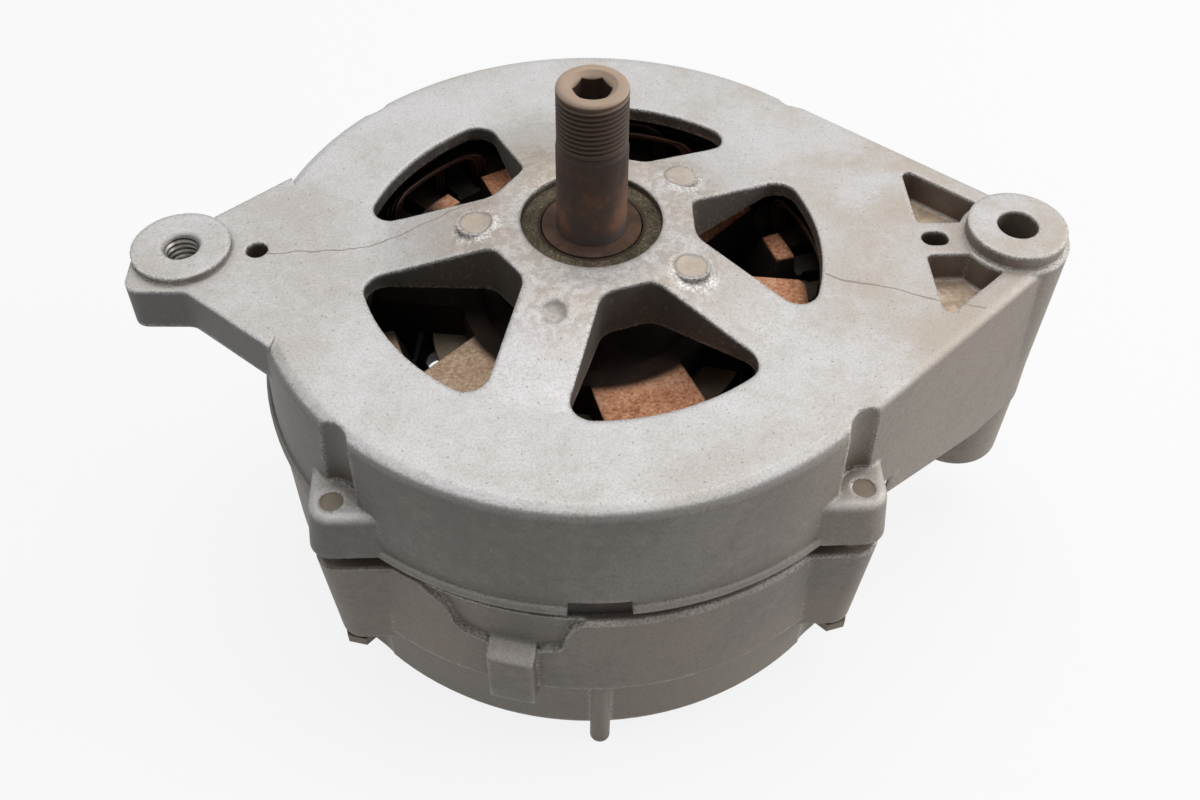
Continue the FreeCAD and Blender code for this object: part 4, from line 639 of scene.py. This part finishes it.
dress(dusty_seal(), "front_bearing_seal", "inner_bearing_seal")
varnish = plain("varnished_wire", (0.035, 0.015, 0.009), (0.10, 0.042, 0.022), 0.35, 0.3, 60, 0.02, 0.1)
dress(varnish, *PHASES, "stator_leads", "field_winding")

# %% [markdown]
# ## Pieces made from formulas
# A grid of points makes each piece: one index runs along it and the other round it. Rows that
# shrink to a point are merged, so every piece is closed.

# %% Surfaces
MERGE = 1e-7  # points nearer to each other than this, in metres, become one


def box(name):
    """Low and high corner of a CAD node, in millimetres."""
    points = np.empty(len(nodes[name].data.vertices) * 3)
    nodes[name].data.vertices.foreach_get("co", points)
    points = points.reshape(-1, 3) / MM
    return points.min(axis=0), points.max(axis=0)


def grid_faces(rows, columns, first=0):
    """Faces of a grid that is open along its rows and closed round its columns."""
    i, j = np.meshgrid(np.arange(rows - 1), np.arange(columns), indexing="ij")
    after = (j + 1) % columns
    faces = np.stack([i * columns + j, i * columns + after, (i + 1) * columns + after,
                      (i + 1) * columns + j], axis=-1)
    return faces.reshape(-1, 4) + first


def turned(radii, heights, centre=(0.0, 0.0)):
    """Points and faces of rings round an upright line: for each ring its radii and its height."""
    radii = np.array(radii)
    angle = np.linspace(0, 2 * math.pi, radii.shape[1], endpoint=False)
    points = np.stack([centre[0] + radii * np.cos(angle), centre[1] + radii * np.sin(angle),
                       np.broadcast_to(np.array(heights)[:, None], radii.shape)], axis=-1)
    return points, grid_faces(*radii.shape)


def piece(name, points, faces, material, rides, replaces, slot):
    """A finished part from points in millimetres, merged, smooth, riding its body and hiding the part it
    replaces.
    """
    mesh = bpy.data.meshes.new(name)
    mesh.from_pydata((points.reshape(-1, 3) * MM).tolist(), [], faces.tolist())
    merged = bmesh.new()
    merged.from_mesh(mesh)
    bmesh.ops.remove_doubles(merged, verts=merged.verts, dist=MERGE)
    bmesh.ops.recalc_face_normals(merged, faces=merged.faces)
    merged.to_mesh(mesh)
    merged.free()
    mesh.polygons.foreach_set("use_smooth", [True] * len(mesh.polygons))
    made = bpy.data.objects.new(name, mesh)
    bpy.context.scene.collection.objects.link(made)
    mesh.materials.append(material)
    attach(made, rides)
    if replaces:
        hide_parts(replaces)
    return made


# %% [markdown]
# ### Threaded shaft
# The thread is a depth that depends on how far a point is along one turn of the helix,
# `p = z / pitch - angle / 2 pi`, with a rounded triangle wave of the fraction of p. The socket's
# wall is at `max(cone, flats / 2 / cos(angle to the nearest flat))`.

# %% Threaded shaft
def threaded_shaft():
    """The shaft as rows of radii from its lower end, over the thread and down into the socket."""
    columns, pitch, depth = 144, 1.27, 0.75
    seat, core, crest, mouth, flats = 8.5, 10.0, 8.3, 5.7, 7.94
    thread_length, bevel_height, bevel_width, row_step = 14.5, 1.1, 1.35, 0.09
    crest_share, flank_share, run_in, run_out = 0.3, 0.6, 1.2, 0.6
    cone_depth, socket_depth, drill_depth = 1.9, 12, 13.5
    low, high = box("rotor_shaft")
    rotor_low, rotor_high = box("rear_claw_pole")[0][2], box("front_claw_pole")[1][2]
    end = high[2]
    thread_low, thread_high = end - thread_length, end - bevel_height
    angle = np.linspace(0, 2 * math.pi, columns, endpoint=False)

    # The bevelled foot, the seat, the thicker middle inside the poles, and the groove below the thread.
    rows = [(0, low[2]), (seat - 0.8, low[2]), (seat, low[2] + 1), (seat, rotor_low), (core, rotor_low),
            (core, rotor_high), (seat, rotor_high), (seat, thread_low - 1.9), (seat - 0.1, thread_low - 1.7),
            (seat - 0.55, thread_low - 1.2), (seat - 0.65, thread_low - 0.4)]
    radii = [np.full(columns, float(radius)) for radius, height in rows]
    heights = [height for radius, height in rows]
    for z in np.arange(thread_low, thread_high, row_step):
        turn = (z / pitch - angle / (2 * math.pi)) % 1
        wave = np.clip((np.abs(2 * turn - 1) - crest_share) / flank_share, 0, 1)
        fade = min(1, (z - thread_low) / run_in, (thread_high - z) / run_out)
        radii.append(crest - depth * wave * max(fade, 0))
        heights.append(z)

    # The bevel at the end, then the cone and the flats of the socket.
    for step in np.linspace(0, math.pi / 2, 7):
        radii.append(np.full(columns, crest - bevel_width + bevel_width * math.cos(step)))
        heights.append(end - bevel_height + bevel_height * math.sin(step))
    nearest = (angle + math.pi / 6) % (math.pi / 3) - math.pi / 6
    hexagon = flats / 2 / np.cos(nearest - np.sign(nearest) * math.pi / 6)
    radii.append(np.full(columns, mouth + 0.15))
    heights.append(end)
    for drop in np.linspace(0.05, cone_depth, 12):
        radii.append(np.maximum(hexagon, mouth - 1.1 * drop ** 1.1))
        heights.append(end - drop)
    for drop, share in ((cone_depth + 0.05, 1), (socket_depth, 1), (drill_depth, 0)):
        radii.append(hexagon * share)
        heights.append(end - drop)
    piece("threaded_shaft", *turned(radii, heights), shaft_film, "rotor", "rotor_shaft", "shaft_steel")


threaded_shaft()

# %% [markdown]
# ### Ear thread
# The tapped hole keeps its own fine thread: a closed sleeve whose inner wall is a helix of the same
# kind, with its ridges towards the axis.

# %% Ear thread
def ear_thread():
    """A sleeve in the tapped hole, smooth outside and threaded inside."""
    columns, pitch, ridge_height, clearance, row_step = 72, 1.5, 0.5, 0.06, 0.1
    run_in, run_out = 0.8, 0.5
    centre, wall, low, high = (-100.0, 0.0), 4.22, 89.3, 101.6
    angle = np.linspace(0, 2 * math.pi, columns, endpoint=False)
    smooth = np.full(columns, wall)
    radii, heights = [smooth, smooth], [low, high]
    for z in np.arange(high, low, -row_step):
        turn = (z / pitch - angle / (2 * math.pi)) % 1
        ridge = np.clip(1.15 - np.abs(2 * turn - 1) * 1.5, 0, 1)
        fade = min(1, (high - z) / run_in, (z - low) / run_out)
        radii.append(wall - clearance - ridge_height * ridge * max(fade, 0))
        heights.append(z)
    radii.append(smooth)
    heights.append(low)
    bright = plain("cut_thread", (0.16, 0.15, 0.14), (0.42, 0.40, 0.37), 0.3, 0.9, 200, 0.02, 0.05)
    piece("ear_thread", *turned(radii, heights, centre), bright, "frame", None, "cast_aluminium")


ear_thread()

# %% [markdown]
# ### Stator windings
# Each phase is a wave: up through one slot, over to the third slot on, down, and on until it is
# back. Its wires are tubes round that path. Along the path each wire keeps its own place in the
# bundle, and it wanders a little at the turns, where nothing holds it.

# %% Stator windings
def tube(path, radius, sides):
    """A closed tube: at each point of a closed path a ring in the plane across it."""
    ahead = np.roll(path, -1, axis=0) - np.roll(path, 1, axis=0)
    ahead /= np.linalg.norm(ahead, axis=1, keepdims=True)
    outward = path * (1, 1, 0)
    outward /= np.linalg.norm(outward, axis=1, keepdims=True)
    across = np.cross(ahead, outward)
    across /= np.linalg.norm(across, axis=1, keepdims=True)
    outward = np.cross(across, ahead)
    angle = np.linspace(0, 2 * math.pi, sides, endpoint=False)[None, :, None]
    ring = across[:, None] * np.cos(angle) + outward[:, None] * np.sin(angle)
    return path[:, None] + radius * ring


def wave_path(bars, start, radius, spread, low, high, lift):
    """Centre line of a wave winding on a cylinder, with round corners at the turns."""
    bar_steps, turn_steps = 9, 8
    corner = np.linspace(0, math.pi / 2, 6)
    pitch = 2 * math.pi / bars
    bend = lift / radius
    line = []
    for bar in range(bars):
        foot = start + bar * pitch
        up = bar % 2 == 0
        top, base = (high, low) if up else (low, high)
        sign = 1 if up else -1
        for z in np.linspace(base + sign * lift, top - sign * lift, bar_steps):
            line.append((foot, z))
        for turn in corner[1:]:
            line.append((foot + bend * (1 - math.cos(turn)), top - sign * lift * (1 - math.sin(turn))))
        for step in np.linspace(bend, pitch - bend, turn_steps)[1:-1]:
            line.append((foot + step, top))
        for turn in corner[:-1]:
            line.append((foot + pitch - bend * (1 - math.sin(turn)),
                         top - sign * lift * (1 - math.cos(turn))))
    line = np.array(line)
    return line[:, 0] + spread / radius, line[:, 1], np.full(len(line), float(radius))


def phase_winding(number, name):
    """Nine wires of one phase, each offset in the bundle and jittered at its turns."""
    bars, lift, wire, sides, knot_count = 12, 5.0, 0.6, 6, 24
    first_layer, layer_step = 58.9, 4.62  # each phase lies in its own layer of the slots
    row_step, column_step, first_row = 1.36, 1.18, 0.62
    margin, row_rise, sag_share = 0.7, 1.35, 0.2
    held, freed_over, loose_out, loose_round, loose_in = 15, 6, 0.12, 0.25, 0.35
    low, high = box(name)
    middle = (box("stator_core")[0][2] + box("stator_core")[1][2]) / 2
    random = np.random.default_rng(7 + number)
    points, faces, count = [], [], 0
    start = math.radians(360 / bars / 3 * number)
    for row in range(3):
        for column in range(3):
            spread = (column - 1) * column_step
            depth = first_layer + number * layer_step + first_row + row * row_step
            sag = random.uniform(-0.5, 0.9)
            base = low[2] + margin + row * row_rise + sag * sag_share
            top = high[2] - margin - row * row_rise - abs(sag) * sag_share
            angle, z, radius = wave_path(bars, start, depth, spread, base, top, lift)

            # Past the stator core the wire is free to wander, by a smooth random amount.
            free = np.clip((np.abs(z - middle) - held) / freed_over, 0, 1)
            knots = random.normal(0, 1, (3, knot_count))
            along = np.linspace(0, knot_count, len(z), endpoint=False)
            wander = [np.interp(along, np.arange(knot_count + 1), np.append(k, k[0])) for k in knots]
            radius = radius + free * wander[0] * loose_out
            angle = angle + free * wander[1] * loose_round / radius
            z = z - free * np.abs(wander[2]) * loose_in * np.sign(z - middle)
            path = np.stack([radius * np.cos(angle), radius * np.sin(angle), z], axis=1)
            points.append(tube(path, wire, sides).reshape(-1, 3))

            # The last ring is joined to the first.
            close = np.arange(sides)
            after = (close + 1) % sides
            last = (len(path) - 1) * sides + count
            faces.append(grid_faces(len(path), sides, count))
            faces.append(np.stack([last + close, last + after, count + after, count + close], axis=-1))
            count += len(path) * sides
    piece(name.replace("winding", "wires"), np.concatenate(points), np.concatenate(faces), varnish, "frame",
          name, "winding")


for order, name in enumerate(PHASES):
    phase_winding(order, name)

# %% [markdown]
# ### Brush springs
# Each spring is a helix round its own line, `(R cos t, t, R sin t)` with a round wire.

# %% Brush springs
def brush_spring(label):
    """A coil of six turns whose end rows shrink to a point."""
    wire, travel, fixed, turns, steps, sides = 0.35, 4.0, 40.0, 6, 30, 10
    low, high = box(label)
    coil = (high[0] - low[0]) / 2 - wire
    centre = (low + high) / 2
    turn = np.linspace(0, 2 * math.pi * turns, turns * steps)
    turn = np.concatenate([turn[:1], turn, turn[-1:]])[:, None]
    thick = np.full(turn.shape, wire)
    thick[[0, -1]] = 0
    along = low[1] + wire + (high[1] - low[1] - 2 * wire) * turn / turn.max()
    around = np.linspace(0, 2 * math.pi, sides, endpoint=False)[None, :]
    radius = coil + thick * np.cos(around)
    points = np.stack([centre[0] + radius * np.cos(turn), along + thick * np.sin(around),
                       centre[2] + radius * np.sin(turn)], axis=-1)
    made = piece(label + "_coil", points, grid_faces(*radius.shape), spring_wire, "frame", label, "spring")
    1 - travel / (fixed - low[1])
    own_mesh(made)


spring_wire = plain("spring_wire", (0.30, 0.29, 0.27), (0.44, 0.42, 0.40), 0.35, 0.9)
brush_spring("rear_brush_spring")
brush_spring("front_brush_spring")

# %% [markdown]
# ### Field winding
# The rotor's coil is a ring whose outline is a row of half round wires.

# %% Field winding
def field_coil():
    """A ring with one bump for each turn of its outer layer."""
    inner, wire, gap, edge, columns, turns, steps = 25.5, 0.3, 0.02, 0.05, 96, 17, 8
    low, high = box("field_winding")
    outer = high[0]
    z = np.linspace(low[2] + edge, high[2] - edge, turns * steps + 1)
    share = (z - z[0]) / (z[-1] - z[0]) * turns % 1
    radius = outer - wire + wire * np.sqrt(np.clip(1 - (2 * share - 1) ** 2, 0, 1)) - gap
    radius = np.concatenate([[inner], radius, [inner], [inner]])
    z = np.concatenate([[z[0]], z, [z[-1]], [z[0]]])
    radii = np.repeat(radius[:, None], columns, axis=1)
    piece("field_coil", *turned(radii, z), varnish, "rotor", "field_winding", "winding")


field_coil()
